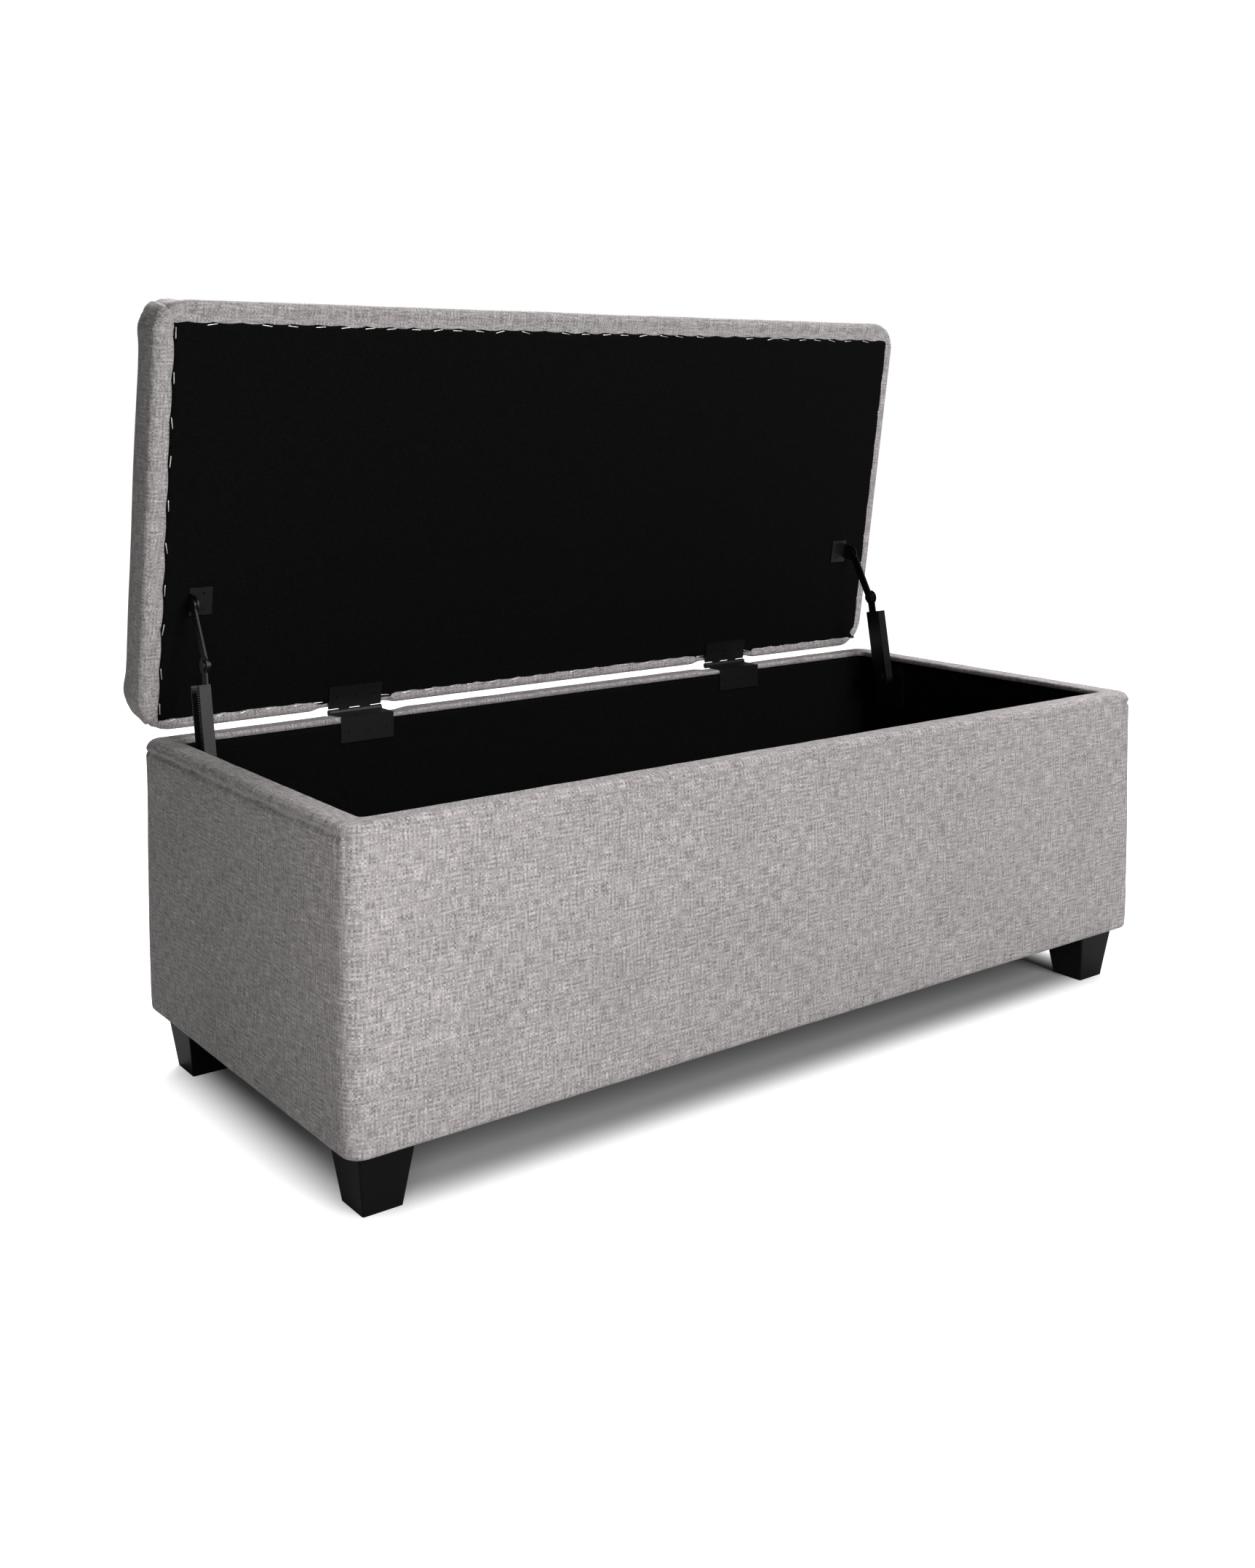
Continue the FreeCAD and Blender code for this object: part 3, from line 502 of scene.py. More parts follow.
band, band_length, band_width = band_mesh("box_cover", columns, profile, HALF_LENGTH, HALF_DEPTH,
                                          BOX_CORNER, CENTRE_Y, cover_relief)
band = plain_mesh(band, ("SOLIDIFY", {"thickness": CLOTH_THICK, "offset": -1.0}))
box_cover = new_piece("box_cover", band, "base", linen)
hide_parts("body_cover")

# ------------------------ storage lining
# Black spun-bonded cloth that lines the walls and floor of the box, glued to the boards and
# folded at the corners. It is slightly loose, so it lies in shallow waves.
inner_low, inner_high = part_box("storage_lining")
LINING_THICK = 0.8 * mm
LINING_GAP = 0.2 * mm
LINING_ROUND = 7.0 * mm
LINING_STEP = 12.0 * mm


def shell_lattice(axes, sides):
    """Square-meshed faces of a box through the levels on each axis. Gives the points, quads
    that face outwards and each quad's (axis, sign)."""
    index, points, quads, facing = {}, [], [], []
    for axis, sign in sides:
        a, b = [other for other in range(3) if other != axis]
        level = len(axes[axis]) - 1 if sign > 0 else 0
        for i in range(len(axes[a]) - 1):
            for j in range(len(axes[b]) - 1):
                ring = []
                for di, dj in ((0, 0), (1, 0), (1, 1), (0, 1)):
                    key = [0, 0, 0]
                    key[axis], key[a], key[b] = level, i + di, j + dj
                    if tuple(key) not in index:
                        index[tuple(key)] = len(points)
                        points.append([axes[n][key[n]] for n in range(3)])
                    ring.append(index[tuple(key)])
                outward = (sign > 0) == (axis != 1)
                quads.append(ring if outward else ring[::-1])
                facing.append((axis, sign))
    return points, quads, facing


def round_upright_edges(x, y, half_x, half_y, radius):
    """Moves box points so that the upright edges are round. Gives the point, its outward
    direction and its distance in from the outline."""
    core = np.array([max(-half_x + radius, min(half_x - radius, x)),
                     max(-half_y + radius, min(half_y - radius, y))])
    off = np.array([x, y]) - core
    reach = np.abs(off).max()
    if reach < 1e-9:
        return core, np.zeros(2), radius
    direction = off / np.linalg.norm(off)
    return core + direction * reach, direction, radius - reach


def wrapped_flat(quads, facing, blanks):
    """Flat cloth places of each quad's corners, with the sides folded out from one face."""
    flat = []
    for quad, (axis, sign) in zip(quads, facing):
        for corner in quad:
            x, y, fold = blanks[corner]
            flat.append((x + (sign * fold if axis == 0 else 0), y + (sign * fold if axis == 1 else 0)))
    return flat


# Spun-bonded cloth: near-black matt fibres pressed with a fine dot pattern; dots are drawn
# 2 mm apart so that they show.
black_cloth, tree, shader = new_finish("black_spunbond_cloth", Roughness=0.9, Specular_IOR_Level=0.04)
cloth_mm = in_mm(tree)
fibres = add(tree, "ShaderNodeTexNoise", {"Vector": cloth_mm, "Scale": 0.5, "Detail": 5.0,
             "Roughness": 0.65, "Distortion": 1.5})
add(tree, "ShaderNodeValToRGB", {"Fac": fibres}, stops=[(0.3, "040404"), (0.7, "101010")],
    feeds=shader.inputs["Base Color"])
dots = add(tree, "ShaderNodeTexVoronoi", {"Vector": cloth_mm, "Scale": 0.5, "Randomness": 0.15})
dot_bump = add(tree, "ShaderNodeBump", {"Height": dots, "Distance": 0.0002, "Strength": 0.7})
add(tree, "ShaderNodeBump", {"Height": fibres, "Distance": 0.0005, "Normal": dot_bump},
    feeds=shader.inputs["Normal"])

lining_top = RIM - RIM_LIP_DROP - LINING_GAP
lining_half = [(inner_high[i] - inner_low[i]) / 2 - LINING_THICK - LINING_GAP for i in range(2)]
lining_floor = inner_low.z + LINING_THICK + LINING_GAP
lining_height = lining_top - lining_floor
axes = [levels(-half, half, LINING_STEP, (3.5 * mm, 8 * mm)) for half in lining_half]
axes.append([0.0, 3.5 * mm] + levels(8 * mm, lining_height, LINING_STEP))
points, quads, facing = shell_lattice(axes, [(2, -1), (0, -1), (0, 1), (1, -1), (1, 1)])
quads = [quad[::-1] for quad in quads]
lined = []
for x, y, z in points:
    core, out, inward = round_upright_edges(x, y, lining_half[0], lining_half[1], LINING_ROUND)
    on_wall = inward < 1e-6
    if inward < LINING_ROUND and z < LINING_ROUND:
        off = np.array([LINING_ROUND - inward, LINING_ROUND - z])
        off *= LINING_ROUND / np.linalg.norm(off)
        core = core + out * (off[0] - (LINING_ROUND - inward))
        z = LINING_ROUND - off[1]
    wave = 1.5 * mm * (0.5 + unevenness(x / 0.10, y / 0.10, z / 0.14))
    wave *= smooth_step((lining_height - z) / 0.05 - 1.5)
    wave = max(0.0, wave)
    if on_wall:
        core = core - out * wave
    lined.append((core[0], CENTRE_Y + core[1], lining_floor + z + (0 if on_wall else 0.6 * wave)))
lining_mesh = shell_mesh("lining", quads, lined, wrapped_flat(quads, facing, points))
lining_mesh = plain_mesh(lining_mesh, ("SUBSURF", {"levels": 1, "render_levels": 1}),
                         ("SOLIDIFY", {"thickness": LINING_THICK, "offset": -1.0}))
lining = new_piece("box_lining", lining_mesh, "base", black_cloth)
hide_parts("storage_lining")

# ------------------------ staples
# Galvanised wire staples, 11 mm wide, fired by hand along the cloth edges: nearly in line
# with the edge and nearly evenly spaced, but never quite.
STAPLE_CROWN = 11.0 * mm
STAPLE_WIRE = 1.2 * mm
STAPLE_LEG = 5.5 * mm
STAPLE_BEND = 0.9 * mm
STAPLE_TURN = math.radians(14)
STAPLE_SLIDE = 4.0 * mm
STAPLES_FIRED = 0.88

# Galvanised wire: bright, slightly brushed along its length.
wire, tree, shader = new_finish("galvanised_wire", Metallic=1.0, Base_Color=srgb("e3e4e2"))
drawn = add(tree, "ShaderNodeTexNoise", {"Vector": in_mm(tree), "Scale": 2.0, "Detail": 2.0})
add(tree, "ShaderNodeMapRange", {"Value": drawn, "To Min": 0.22, "To Max": 0.42},
    feeds=shader.inputs["Roughness"])


def sockets(tree, **kinds):
    """Gives a geometry tree its geometry input and output and its named inputs."""
    tree.interface.new_socket("Geometry", in_out="INPUT", socket_type="NodeSocketGeometry")
    tree.interface.new_socket("Geometry", in_out="OUTPUT", socket_type="NodeSocketGeometry")
    for name, kind in kinds.items():
        tree.interface.new_socket(name.replace("_", " "), in_out="INPUT", socket_type="NodeSocket" + kind)
    return add(tree, "NodeGroupInput").outputs


def grown_mesh(name, tree, mesh, **values):
    """Runs a geometry tree on a mesh with its inputs set and gives a plain mesh."""
    carrier = put("carrier", mesh)
    modifier = carrier.modifiers.new("nodes", "NODES")
    modifier.node_group = tree
    for item in tree.interface.items_tree:
        key = item.name.replace(" ", "_")
        if item.in_out == "INPUT" and key in values:
            modifier[item.identifier] = values[key]
    return evaluated(carrier, name)


staple_tree = bpy.data.node_groups.new("staple_rows", "GeometryNodeTree")
given = sockets(staple_tree, Pitch="Float", Crown="Float", Wire="Float", Leg="Float", Turn="Float",
                Slide="Float", Fired_Share="Float", Seed="Int", Finish="Material")
t = staple_tree
wire_points = add(t, "GeometryNodeMeshLine", {"Count": 4})
number = add(t, "GeometryNodeInputIndex")
side = add(t, "ShaderNodeMath", {0: number, 1: 1.5}, operation="GREATER_THAN")
side = add(t, "ShaderNodeMath", {0: side, 1: 0.5}, operation="SUBTRACT")
wire_x = add(t, "ShaderNodeMath", {0: side, 1: given["Crown"]}, operation="MULTIPLY")
from_middle = add(t, "ShaderNodeMath", {0: number, 1: 1.5}, operation="SUBTRACT")
from_middle = add(t, "ShaderNodeMath", {0: from_middle}, operation="ABSOLUTE")
is_tip = add(t, "ShaderNodeMath", {0: from_middle, 1: 1.0}, operation="GREATER_THAN")
wire_z = add(t, "ShaderNodeMath", {0: is_tip, 1: given["Leg"]}, operation="MULTIPLY")
bent = add(t, "ShaderNodeCombineXYZ", {"X": wire_x, "Z": wire_z})
wire_points = add(t, "GeometryNodeSetPosition", {"Geometry": wire_points, "Position": bent})
wire_path = add(t, "GeometryNodeMeshToCurve", {"Mesh": wire_points})
wire_path = add(t, "GeometryNodeFilletCurve", {"Curve": wire_path, "Count": 3, "Radius": STAPLE_BEND},
                mode="POLY")
wire_radius = add(t, "ShaderNodeMath", {0: given["Wire"], 1: 0.5}, operation="MULTIPLY")
section = add(t, "GeometryNodeCurvePrimitiveCircle", {"Resolution": 6, "Radius": wire_radius})
staple = add(t, "GeometryNodeCurveToMesh", {"Curve": wire_path, "Profile Curve": section,
             "Fill Caps": True})
rows = add(t, "GeometryNodeMeshToCurve", {"Mesh": given["Geometry"]})
rows = add(t, "GeometryNodeResampleCurve", {"Curve": rows, "Length": given["Pitch"]}, mode="LENGTH")
along = add(t, "GeometryNodeInputTangent")
slid = add(t, "FunctionNodeRandomValue", {2: -1.0, 3: 1.0, "Seed": given["Seed"]})
slid = add(t, "ShaderNodeMath", {0: slid.outputs[1], 1: given["Slide"]}, operation="MULTIPLY")
slid = add(t, "ShaderNodeVectorMath", {0: along, "Scale": slid}, operation="SCALE")
turned_seed = add(t, "ShaderNodeMath", {0: given["Seed"], 1: 17.0}, operation="ADD")
turn_by = add(t, "FunctionNodeRandomValue", {2: -1.0, 3: 1.0, "Seed": turned_seed})
turn_by = add(t, "ShaderNodeMath", {0: turn_by.outputs[1], 1: given["Turn"]}, operation="MULTIPLY")
lie = add(t, "FunctionNodeAlignRotationToVector", {"Vector": along}, axis="X", pivot_axis="Z")
skew = add(t, "ShaderNodeCombineXYZ", {"Z": turn_by})
skew = add(t, "FunctionNodeEulerToRotation", {"Euler": skew})
lie = add(t, "FunctionNodeRotateRotation", {"Rotation": lie, "Rotate By": skew}, rotation_space="LOCAL")
moved = add(t, "GeometryNodeSetPosition", {"Geometry": rows, "Offset": slid})
kept_seed = add(t, "ShaderNodeMath", {0: given["Seed"], 1: 31.0}, operation="ADD")
kept = add(t, "FunctionNodeRandomValue", {"Probability": given["Fired Share"], "Seed": kept_seed},
           data_type="BOOLEAN")
fired = add(t, "GeometryNodeInstanceOnPoints", {"Points": moved, "Selection": kept.outputs[3],
            "Instance": staple, "Rotation": lie})
fired = add(t, "GeometryNodeRealizeInstances", {"Geometry": fired})
fired = add(t, "GeometryNodeSetShadeSmooth", {"Geometry": fired})
fired = add(t, "GeometryNodeSetMaterial", {"Geometry": fired, "Material": given["Finish"]})
add(t, "NodeGroupOutput", {"Geometry": fired})


def joined(name, meshes):
    whole = bmesh.new()
    for mesh in meshes:
        whole.from_mesh(mesh)
    result = bpy.data.meshes.new(name)
    whole.to_mesh(result)
    whole.free()
    for polygon in result.polygons:
        polygon.use_smooth = True
    return result


def staple_rows(name, rows, pitch, seed):
    """Staples along straight rows, each given by its two ends at the height of the cloth."""
    lines = bpy.data.meshes.new("rows")
    lines.from_pydata([end for row in rows for end in row],
                      [(2 * i, 2 * i + 1) for i in range(len(rows))], [])
    return grown_mesh(name, staple_tree, lines, Pitch=pitch, Crown=STAPLE_CROWN, Wire=STAPLE_WIRE,
                      Leg=STAPLE_LEG, Turn=STAPLE_TURN, Slide=STAPLE_SLIDE, Fired_Share=STAPLES_FIRED,
                      Seed=seed, Finish=wire)


# ------------------------ bottom cloth
# A black dust cloth under the box, turned in at its edges and stapled all round between the
# feet, hanging a little slack in the middle.
BOTTOM_PITCH = 60.0 * mm
BOTTOM_ROW_IN = 4.0 * mm
FOOT_SPARE = 14.0 * mm
CLOTH_GRID = 7.0 * mm
DUST_SAG = 3.0


def cloth_grid(name, low, high, step, place):
    """Flat grid of cloth between two corners, each point then placed by a function."""
    across = round((high.x - low.x) / step)
    deep = round((high.y - low.y) / step)
    points, flat = [], []
    for i in range(across + 1):
        for j in range(deep + 1):
            x = low.x + (high.x - low.x) * i / across
            y = low.y + (high.y - low.y) * j / deep
            points.append(place(x, y))
            flat.append((x, y))
    quads = []
    for i in range(across):
        for j in range(deep):
            a = i * (deep + 1) + j
            quads.append((a, a + 1, a + deep + 2, a + deep + 1))
    return shell_mesh(name, quads, points, [flat[corner] for quad in quads for corner in quad])


cloth_low, cloth_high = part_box("bottom_cloth")


def dust_cloth_place(x, y):
    edge_x = min(x - cloth_low.x, cloth_high.x - x)
    edge_y = min(y - cloth_low.y, cloth_high.y - y)
    edge = min(edge_x, edge_y)
    run = y if edge_x < edge_y else x
    hollow = math.sin(math.pi * run / BOTTOM_PITCH) ** 2
    draw_in = 2.4 * mm * hollow * (1 - smooth_step(edge / (18 * mm)))
    middle_y = (cloth_low.y + cloth_high.y) / 2
    if edge_x < edge_y:
        x -= math.copysign(draw_in, x)
    else:
        y -= math.copysign(draw_in, y - middle_y)
    from_foot = smooth_step((max(edge_x, edge_y) - 70 * mm) / (60 * mm))
    ripple = 0.5 + 0.5 * unevenness(x / 0.09, y / 0.05, 2.0)
    sag = DUST_SAG * mm * smooth_step(edge / (120 * mm)) * from_foot
    return x, y, cloth_low.z - sag * (0.6 + 0.4 * ripple) - 0.5 * mm * ripple * from_foot


dust_mesh = cloth_grid("dust_cloth", cloth_low, cloth_high, CLOTH_GRID, dust_cloth_place)
dust_mesh = plain_mesh(dust_mesh, ("SOLIDIFY", {"thickness": 0.8 * mm, "offset": -1.0}))
dust_cloth = new_piece("dust_cloth", dust_mesh, "base", black_cloth)
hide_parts("bottom_cloth")

foot_low, foot_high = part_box("foot_front_left")
row_x = cloth_high.x - BOTTOM_ROW_IN
row_front, row_back = cloth_low.y + BOTTOM_ROW_IN, cloth_high.y - BOTTOM_ROW_IN
end_x = abs(foot_high.x) - FOOT_SPARE
end_front = foot_high.y + FOOT_SPARE
end_back = 2 * CENTRE_Y - end_front
rows = [[(-end_x, y, cloth_low.z), (end_x, y, cloth_low.z)] for y in (row_front, row_back)]
rows += [[(x, end_front, cloth_low.z), (x, end_back, cloth_low.z)] for x in (-row_x, row_x)]
bottom_staples = new_piece("dust_cloth_staples", staple_rows("dust_cloth_staples", rows, BOTTOM_PITCH, 5),
                           "base", wire)
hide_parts("bottom_staples")

# ------------------------ feet
# Four square tapered feet of moulded black plastic, bolted up into the corner blocks.
# Moulded satin plastic: a soft highlight broken by a fine leathery grain.
foot_plastic, tree, shader = new_finish("moulded_satin_plastic", Specular_IOR_Level=0.14,
                                        Base_Color=srgb("090808"))
grain = add(tree, "ShaderNodeTexNoise", {"Vector": in_mm(tree), "Scale": 0.9, "Detail": 4.0})
add(tree, "ShaderNodeBump", {"Height": grain, "Distance": 0.0002, "Strength": 0.6},
    feeds=shader.inputs["Normal"])
add(tree, "ShaderNodeMapRange", {"Value": grain, "To Min": 0.34, "To Max": 0.5},
    feeds=shader.inputs["Roughness"])
paint(foot_plastic, "foot_front_left", "foot_front_right", "foot_back_left", "foot_back_right")

# ------------------------ lid cushion
# The padded lid: 47 mm of foam on a board, with the linen drawn over it from the top, round
# the edges and onto the underside. Spare cloth is pleated at the four corners.
hinge = next(joint for joint in frame["joints"] if joint["name"] == "lid_hinge")
PIN = Vector(hinge["pos_m"])
OPEN_ANGLE = math.radians(hinge["range_deg"][1])
TO_SHUT = Matrix.Translation(PIN) @ Matrix.Rotation(OPEN_ANGLE, 4, "X") @ Matrix.Translation(-PIN)
TO_OPEN = TO_SHUT.inverted()
CUSHION_STEP = 8.0 * mm
START_SMALLER = 0.6 * mm
END_BULGE = 6.5 * mm
CUSHION_CORNER = 30.0 * mm
TOP_EDGE = 8.0 * mm
UNDER_EDGE = 5.0 * mm
BOARD_RISE = 13.5 * mm
MOST_SWELL = 5.0 * mm
SWELL_PRESSURE = 4.0
SWELL_FRAMES = 20
KEPT_OUT = 0.8
UNDER_ROLL = 3.0
UNDER_ROLL_REACH = 9.0 * mm


def shut_box(node):
    """A lid node's lowest and highest corners with the lid shut."""
    points = np.array([TO_SHUT @ vertex.co for vertex in frame["nodes"][node].data.vertices])
    return Vector(points.min(0)), Vector(points.max(0))


lid_low, lid_high = shut_box("lid_cover")
lid_half = [(lid_high[i] - lid_low[i]) / 2 for i in range(2)]
lid_middle_y = (lid_high.y + lid_low.y) / 2
lid_thick = lid_high.z - lid_low.z - START_SMALLER
near = [d * mm for d in (1.6, 4.0, 8.0, 13.0, 18.5, 24.0, 30.0)]
axes = [levels(-half, half, CUSHION_STEP, near) for half in lid_half]
axes.append([0.0, 1.6 * mm, 4.0 * mm, 8.5 * mm] + levels(BOARD_RISE, lid_thick, 6.5 * mm))
points, quads, facing = shell_lattice(axes, [(2, 1), (0, -1), (0, 1), (1, -1), (1, 1), (2, -1)])


def lid_place(x, y, z):
    """Rounds the upright corners and the top and bottom edges of the plain lid box."""
    core, out, inward = round_upright_edges(x, y, lid_half[0], lid_half[1], CUSHION_CORNER)
    core = core - out * START_SMALLER * smooth_step((z - BOARD_RISE) / (10 * mm))
    core = core + out * END_BULGE * abs(out[0]) * math.sin(math.pi * z / lid_thick)
    for radius, depth, way in ((TOP_EDGE, lid_thick - z, 1), (UNDER_EDGE, z, -1)):
        if inward < radius and depth < radius:
            off = np.array([radius - inward, radius - depth])
            off *= radius / np.linalg.norm(off)
            core = core + out * (off[0] - (radius - inward))
            z = z + way * (off[1] - (radius - depth))
            break
    return core[0], core[1], z


shaped = []
for x, y, z in points:
    px, py, pz = lid_place(x, y, z)
    crown = 2.5 * mm * (1 - (x / lid_half[0]) ** 2) * (1 - (y / lid_half[1]) ** 2) * (z / lid_thick) ** 3
    shaped.append((px, lid_middle_y + py, lid_low.z + pz + crown))
cushion_mesh = shell_mesh("lid_cushion", quads, shaped,
                          wrapped_flat(quads, facing, [(x, y, lid_thick - z) for x, y, z in points]))


def inflated(mesh, held, pressure, most):
    """Lets cloth swell under pressure from its plain shape, holding some of its points. It may
    not sink in much: the foam behind it keeps most of any inward move out."""
    start = np.array([vertex.co for vertex in mesh.vertices])
    carrier = put("carrier", mesh)
    group = carrier.vertex_groups.new(name="held")
    group.add(held, 1.0, "REPLACE")
    cloth = carrier.modifiers.new("cloth", "CLOTH")
    for name, value in {"vertex_group_mass": "held", "quality": 6, "mass": 0.3, "tension_stiffness": 25,
                        "compression_stiffness": 25, "shear_stiffness": 8, "bending_stiffness": 1.5,
                        "use_pressure": True, "uniform_pressure_force": pressure}.items():
        setattr(cloth.settings, name, value)
    cloth.settings.effector_weights.gravity = 0
    cloth.point_cache.frame_end = SWELL_FRAMES
    for frame_number in range(1, SWELL_FRAMES + 1):
        scene.frame_set(frame_number)
    moved = evaluated(carrier, mesh.name)
    scene.frame_set(1)
    end = np.array([vertex.co for vertex in moved.vertices])
    normals = np.array([vertex.normal for vertex in mesh.vertices])
    shift = end - start
    inward = np.minimum((shift * normals).sum(axis=1, keepdims=True), 0.0)
    shift -= KEPT_OUT * inward * normals
    far = np.linalg.norm(shift, axis=1, keepdims=True)
    capped = shift * (most * np.tanh(far / most) / np.maximum(far, 1e-9))
    moved.vertices.foreach_set("co", (start + capped).ravel())
    return moved


held = [i for i, (_, _, z) in enumerate(points) if z < BOARD_RISE - 1 * mm]
cushion_mesh = inflated(cushion_mesh, held, SWELL_PRESSURE, MOST_SWELL)
cushion_mesh = plain_mesh(cushion_mesh, ("SUBSURF", {"levels": 1, "render_levels": 1}))


def dress_cushion(mesh):
    """Gives the cushion's cloth its slack, its soft under edge and its pleats at the corners."""
    for vertex, normal in zip(mesh.vertices, [v.normal.copy() for v in mesh.vertices]):
        x, y, z = vertex.co.x, vertex.co.y - lid_middle_y, vertex.co.z - lid_low.z
        stand = 0.7 * unevenness(x / 0.11, y / 0.11, z / 0.05)
        stand += 0.25 * unevenness(x / 0.03, y / 0.03, z / 0.02)
        stand = max(stand, -0.3) if z < BOARD_RISE else stand
        above = smooth_step(z / (6 * mm))
        stand *= above
        inward = min(lid_half[0] - abs(x), lid_half[1] - abs(y))
        off_edge = max(0.0, z) + (max(0.0, inward) if z < 6 * mm else 0.0)
        keep = clear_of_hinge(x, 6 * mm) if y > 0 else 1.0
        stand += UNDER_ROLL * keep * bell(off_edge, 0, UNDER_ROLL_REACH)
        cx = abs(x) - (lid_half[0] - CUSHION_CORNER)
        cy = abs(y) - (lid_half[1] - CUSHION_CORNER)
        if cx > 0 and cy > 0:
            angle = math.degrees(math.atan2(cy, cx))
            reach = math.hypot(cx, cy) / CUSHION_CORNER
            fade = smooth_step(reach * 1.8 - 0.6)
            bend = 45 + 12 * (z / lid_thick)
            lap = 1.3 * fade * smooth_step((angle - bend + 30) / 27) * (1 - smooth_step((angle - bend) / 4))
            lap -= 0.8 * fade * bell(angle, bend + 5, 2.5)
            small = 0.0
            for place in (17, 30, 66, 80):
                small += 0.6 * fade * above * bell(angle, place, 4.0)
            stand += lap - small
        vertex.co += normal * stand * mm
    mesh.update()


dress_cushion(cushion_mesh)
cushion_mesh.transform(TO_OPEN)
cushion = new_piece("lid_cushion", cushion_mesh, "lid", linen)
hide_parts("lid_cover", "lid_foam")

# ------------------------ lid underside cloth
# Black spun-bonded cloth over the board under the lid, put on by hand a few millimetres off
# centre. Its stapled edge slips back a little between the staples and runs in small scallops.
FRONT_PITCH = 27.0 * mm
END_PITCH = 40.0 * mm
LID_ROW_IN = 2.6 * mm
HINGE_SPARE = 8.0 * mm
SCALLOP = 2.6

under_low, under_high = shut_box("lid_cloth")
under_low += Vector((2.5, 0.0, 0.0)) * mm
under_high += Vector((6.5, 3.5, 0.0)) * mm
under_face = under_low.z
under_row_left, under_row_right = under_low.x + LID_ROW_IN, under_high.x - LID_ROW_IN
under_row_front = under_low.y + LID_ROW_IN
under_row_back = under_high.y - LID_ROW_IN
row_left, row_right = under_row_left + STAPLE_CROWN, under_row_right - STAPLE_CROWN
row_end_front = under_row_front + STAPLE_CROWN
row_end_back = under_row_back - STAPLE_CROWN
leaf_low, leaf_high = shut_box("right_hinge_lid_leaf")
gap_near, gap_far = leaf_low.x - HINGE_SPARE, leaf_high.x + HINGE_SPARE


def scallop(run, first, last, pitch, seed):
    """How far the edge has slipped back at a place on a stapled row, in millimetres."""
    steps = (last - first) / (int((last - first) / pitch))
    share = (run - first) / steps
    depth = 0.6 + 0.6 * unevenness(math.floor(share) * 3.7, seed, 0.5)
    return SCALLOP * depth * abs(math.sin(math.pi * share)) ** 0.8


def lid_cloth_place(x, y):
    left, right = x - under_low.x, under_high.x - x
    front, back = y - under_low.y, under_high.y - y
    edge_x, edge_y = min(left, right), min(front, back)
    on_end = edge_x < edge_y
    run, first, last, pitch = (y, row_end_front, row_end_back, END_PITCH) if on_end else \
        (x, row_left, row_right, FRONT_PITCH)
    seed = 1.0 if left < right else 2.0
    seed = seed if on_end else (3.0 if front < back else 4.0)
    edge = min(edge_x, edge_y)
    slip = scallop(run, first, last, pitch, seed)
    draw_in = slip * mm * (1 - smooth_step(edge / (14 * mm)))
    if on_end:
        x += draw_in if left < right else -draw_in
    else:
        y += draw_in if front < back else -draw_in
    puff = 0.30 * slip * bell(edge / mm, 7, 7)
    drawn = 0.5 * unevenness(x / 0.16, y / 0.05, 1.0) + 0.35 * unevenness(x / 0.03, y / 0.09, 4.0)
    loose = smooth_step(edge / (40 * mm)) * (0.55 + drawn)
    return x, y, under_face + 0.25 * mm - (puff + loose) * mm


lid_cloth_mesh = cloth_grid("lid_underside_cloth", under_low, under_high, 5.0 * mm, lid_cloth_place)
lid_cloth_mesh = plain_mesh(lid_cloth_mesh, ("SOLIDIFY", {"thickness": 0.8 * mm, "offset": -1.0}))
lid_cloth_mesh.transform(TO_OPEN)
lid_cloth = new_piece("lid_underside_cloth", lid_cloth_mesh, "lid", black_cloth)
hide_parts("lid_cloth")

z = under_face
front_rows = [[(row_left, under_row_front, z), (row_right, under_row_front, z)]]
back_rows = [[(row_left, under_row_back, z), (-gap_far, under_row_back, z)],
             [(-gap_near, under_row_back, z), (gap_near, under_row_back, z)],
             [(gap_far, under_row_back, z), (row_right, under_row_back, z)]]
end_rows = [[(x, row_end_front, z), (x, row_end_back, z)] for x in (under_row_left, under_row_right)]
lid_staple_mesh = joined("lid_staples_wire", [staple_rows("long", front_rows + back_rows, FRONT_PITCH, 1),
                                              staple_rows("short", end_rows, END_PITCH, 2)])
lid_staple_mesh.transform(TO_OPEN)
lid_staples = new_piece("lid_cloth_staples", lid_staple_mesh, "lid", wire)
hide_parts("lid_staples")

# ------------------------ hinges and stays
# Pressed steel butt hinges with rolled knuckles, and folding stays with a channelled lower
# arm, a flat upper arm and riveted pivots, all powder-coated black.
# Powder coat: black with a faint orange peel about 1 mm across and a soft broad highlight.
powder, tree, shader = new_finish("black_powder_coat", Specular_IOR_Level=0.4, Base_Color=srgb("0a0a0a"))
peel = add(tree, "ShaderNodeTexNoise", {"Vector": in_mm(tree), "Scale": 0.9, "Detail": 3.0})
add(tree, "ShaderNodeBump", {"Height": peel, "Distance": 0.00015}, feeds=shader.inputs["Normal"])
add(tree, "ShaderNodeMapRange", {"Value": peel, "To Min": 0.3, "To Max": 0.5},
    feeds=shader.inputs["Roughness"])
paint(powder, "stay_lid_rivets",
      *[side + part for side in ("left", "right")
        for part in ("_hinge_lid_leaf", "_hinge_body_leaf", "_hinge_pin", "_stay_wall_bracket",
                     "_stay_wall_rivet", "_stay_lower_arm", "_stay_elbow_rivet", "_stay_upper_arm",
                     "_stay_lid_bracket")])

# Spring steel: hard-drawn wire, dark grey and oiled, so its highlight is narrow.
spring_steel, tree, shader = new_finish("oiled_spring_steel", Metallic=1.0, Base_Color=srgb("6c6e72"))
oil = add(tree, "ShaderNodeTexNoise", {"Vector": in_mm(tree), "Scale": 0.4, "Detail": 2.0})
add(tree, "ShaderNodeMapRange", {"Value": oil, "To Min": 0.2, "To Max": 0.4},
    feeds=shader.inputs["Roughness"])
paint(spring_steel, "left_stay_spring", "right_stay_spring")

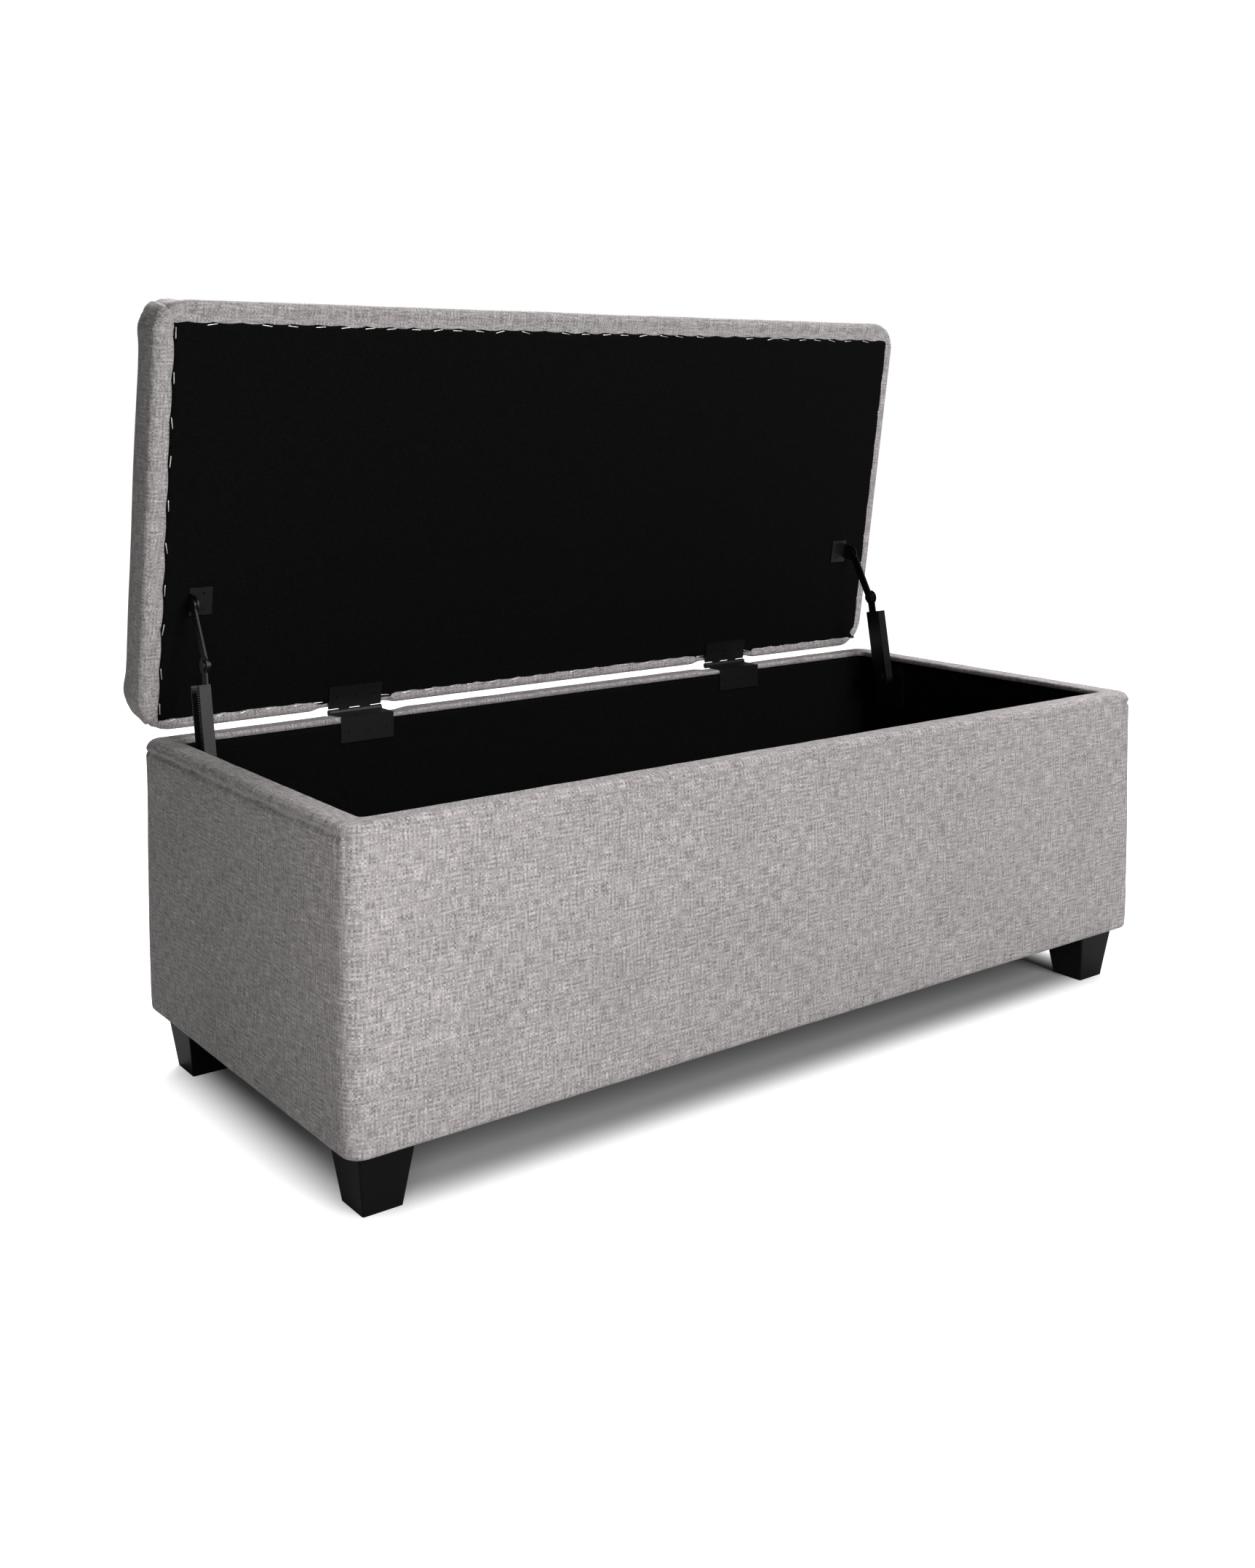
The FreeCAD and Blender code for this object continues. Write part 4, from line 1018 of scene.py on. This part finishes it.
# ------------------------ hinge and stay screws
# Countersunk cross-head wood screws with a black finish, three to each hinge leaf and wall
# bracket and two to each lid bracket, driven flush.
SCREW_HEAD = 3.0 * mm
SCREW_SHANK = 1.5 * mm
SCREW_HEAD_DEEP = 1.5 * mm
SCREW_LONG = 11.0 * mm
CROSS_WIDE = 0.75 * mm
CROSS_LONG = 3.4 * mm
CROSS_DEEP = 1.1 * mm

screw_tree = bpy.data.node_groups.new("cross_head_screws", "GeometryNodeTree")
given = sockets(screw_tree, Head="Float", Shank="Float", Head_Depth="Float", Length="Float",
                Cross_Width="Float", Cross_Length="Float", Cross_Depth="Float", Finish="Material")
t = screw_tree
head = add(t, "GeometryNodeMeshCone", {"Vertices": 28, "Radius Top": given["Shank"],
           "Radius Bottom": given["Head"], "Depth": given["Head Depth"]})
head = add(t, "GeometryNodeMeshBoolean", {"Mesh 1": head}, operation="DIFFERENCE", solver="EXACT")
double_depth = add(t, "ShaderNodeMath", {0: given["Cross Depth"], 1: 2.0}, operation="MULTIPLY")
for wide, long in (("Cross Width", "Cross Length"), ("Cross Length", "Cross Width")):
    size = add(t, "ShaderNodeCombineXYZ", {"X": given[wide], "Y": given[long], "Z": double_depth})
    add(t, "GeometryNodeMeshCube", {"Size": size}, feeds=head.inputs["Mesh 2"])
screw = add(t, "GeometryNodeJoinGeometry", {"Geometry": head})
shank = add(t, "GeometryNodeMeshCylinder", {"Vertices": 16, "Radius": given["Shank"],
            "Depth": given["Length"]})
half_length = add(t, "ShaderNodeMath", {0: given["Length"], 1: 0.5}, operation="MULTIPLY")
shank_z = add(t, "ShaderNodeMath", {0: half_length, 1: given["Head Depth"]}, operation="ADD")
shank_at = add(t, "ShaderNodeCombineXYZ", {"Z": shank_z})
add(t, "GeometryNodeTransform", {"Geometry": shank, "Translation": shank_at},
    feeds=screw.inputs["Geometry"])
drive = add(t, "GeometryNodeInputNamedAttribute", {"Name": "drive"}, data_type="FLOAT_VECTOR")
lie = add(t, "FunctionNodeAlignRotationToVector", {"Vector": drive}, axis="Z")
driven = add(t, "GeometryNodeInstanceOnPoints", {"Points": given["Geometry"], "Instance": screw,
             "Rotation": lie})
driven = add(t, "GeometryNodeRealizeInstances", {"Geometry": driven})
driven = add(t, "GeometryNodeSetMaterial", {"Geometry": driven, "Material": given["Finish"]})
add(t, "NodeGroupOutput", {"Geometry": driven})


def solid_boxes(node, move):
    """Box of each separate solid in a CAD node, after moving the node."""
    solids = bmesh.new()
    solids.from_mesh(frame["nodes"][node].data)
    bmesh.ops.remove_doubles(solids, verts=solids.verts, dist=1e-6)
    solids.transform(move)
    left, boxes = set(solids.verts), []
    while left:
        patch, waiting = [], [left.pop()]
        while waiting:
            vertex = waiting.pop()
            patch.append(vertex.co.copy())
            for edge in vertex.link_edges:
                other = edge.other_vert(vertex)
                if other in left:
                    left.remove(other)
                    waiting.append(other)
        patch = np.array(patch)
        boxes.append((patch.min(0), patch.max(0)))
    solids.free()
    return boxes


def screw_heads(node, move, axis):
    """The middle of each screw's head and the direction that it is driven in."""
    heads = []
    for low, high in solid_boxes(node, move):
        centre = (low + high) / 2
        way = 1.0 if axis != 0 or centre[0] > 0 else -1.0
        centre[axis] = low[axis] if way > 0 else high[axis]
        direction = [0.0, 0.0, 0.0]
        direction[axis] = way
        heads.append((centre, direction))
    return sorted(heads, key=lambda head: tuple(head[0]))


def screw_mesh(name, heads):
    spots = bpy.data.meshes.new("spots")
    spots.from_pydata([tuple(centre) for centre, _ in heads], [], [])
    drive = spots.attributes.new("drive", "FLOAT_VECTOR", "POINT")
    for i, (_, direction) in enumerate(heads):
        drive.data[i].vector = direction
    return grown_mesh(name, screw_tree, spots, Head=SCREW_HEAD, Shank=SCREW_SHANK,
                      Head_Depth=SCREW_HEAD_DEEP, Length=SCREW_LONG, Cross_Width=CROSS_WIDE,
                      Cross_Length=CROSS_LONG, Cross_Depth=CROSS_DEEP, Finish=powder)


still = Matrix.Identity(4)
base_heads = screw_heads("hinge_body_screws", still, 1) + screw_heads("stay_wall_screws", still, 0)
base_screws = new_piece("hinge_and_bracket_screws", screw_mesh("base_screws", base_heads), "base",
                        powder)
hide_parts("hinge_body_screws", "stay_wall_screws")
lid_heads = screw_heads("hinge_lid_screws", TO_SHUT, 2) + screw_heads("stay_lid_screws", TO_SHUT, 2)
lid_screw_mesh = screw_mesh("lid_screws", lid_heads)
lid_screw_mesh.transform(TO_OPEN)
lid_screws = new_piece("lid_hardware_screws", lid_screw_mesh, "lid", powder)
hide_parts("hinge_lid_screws", "stay_lid_screws")
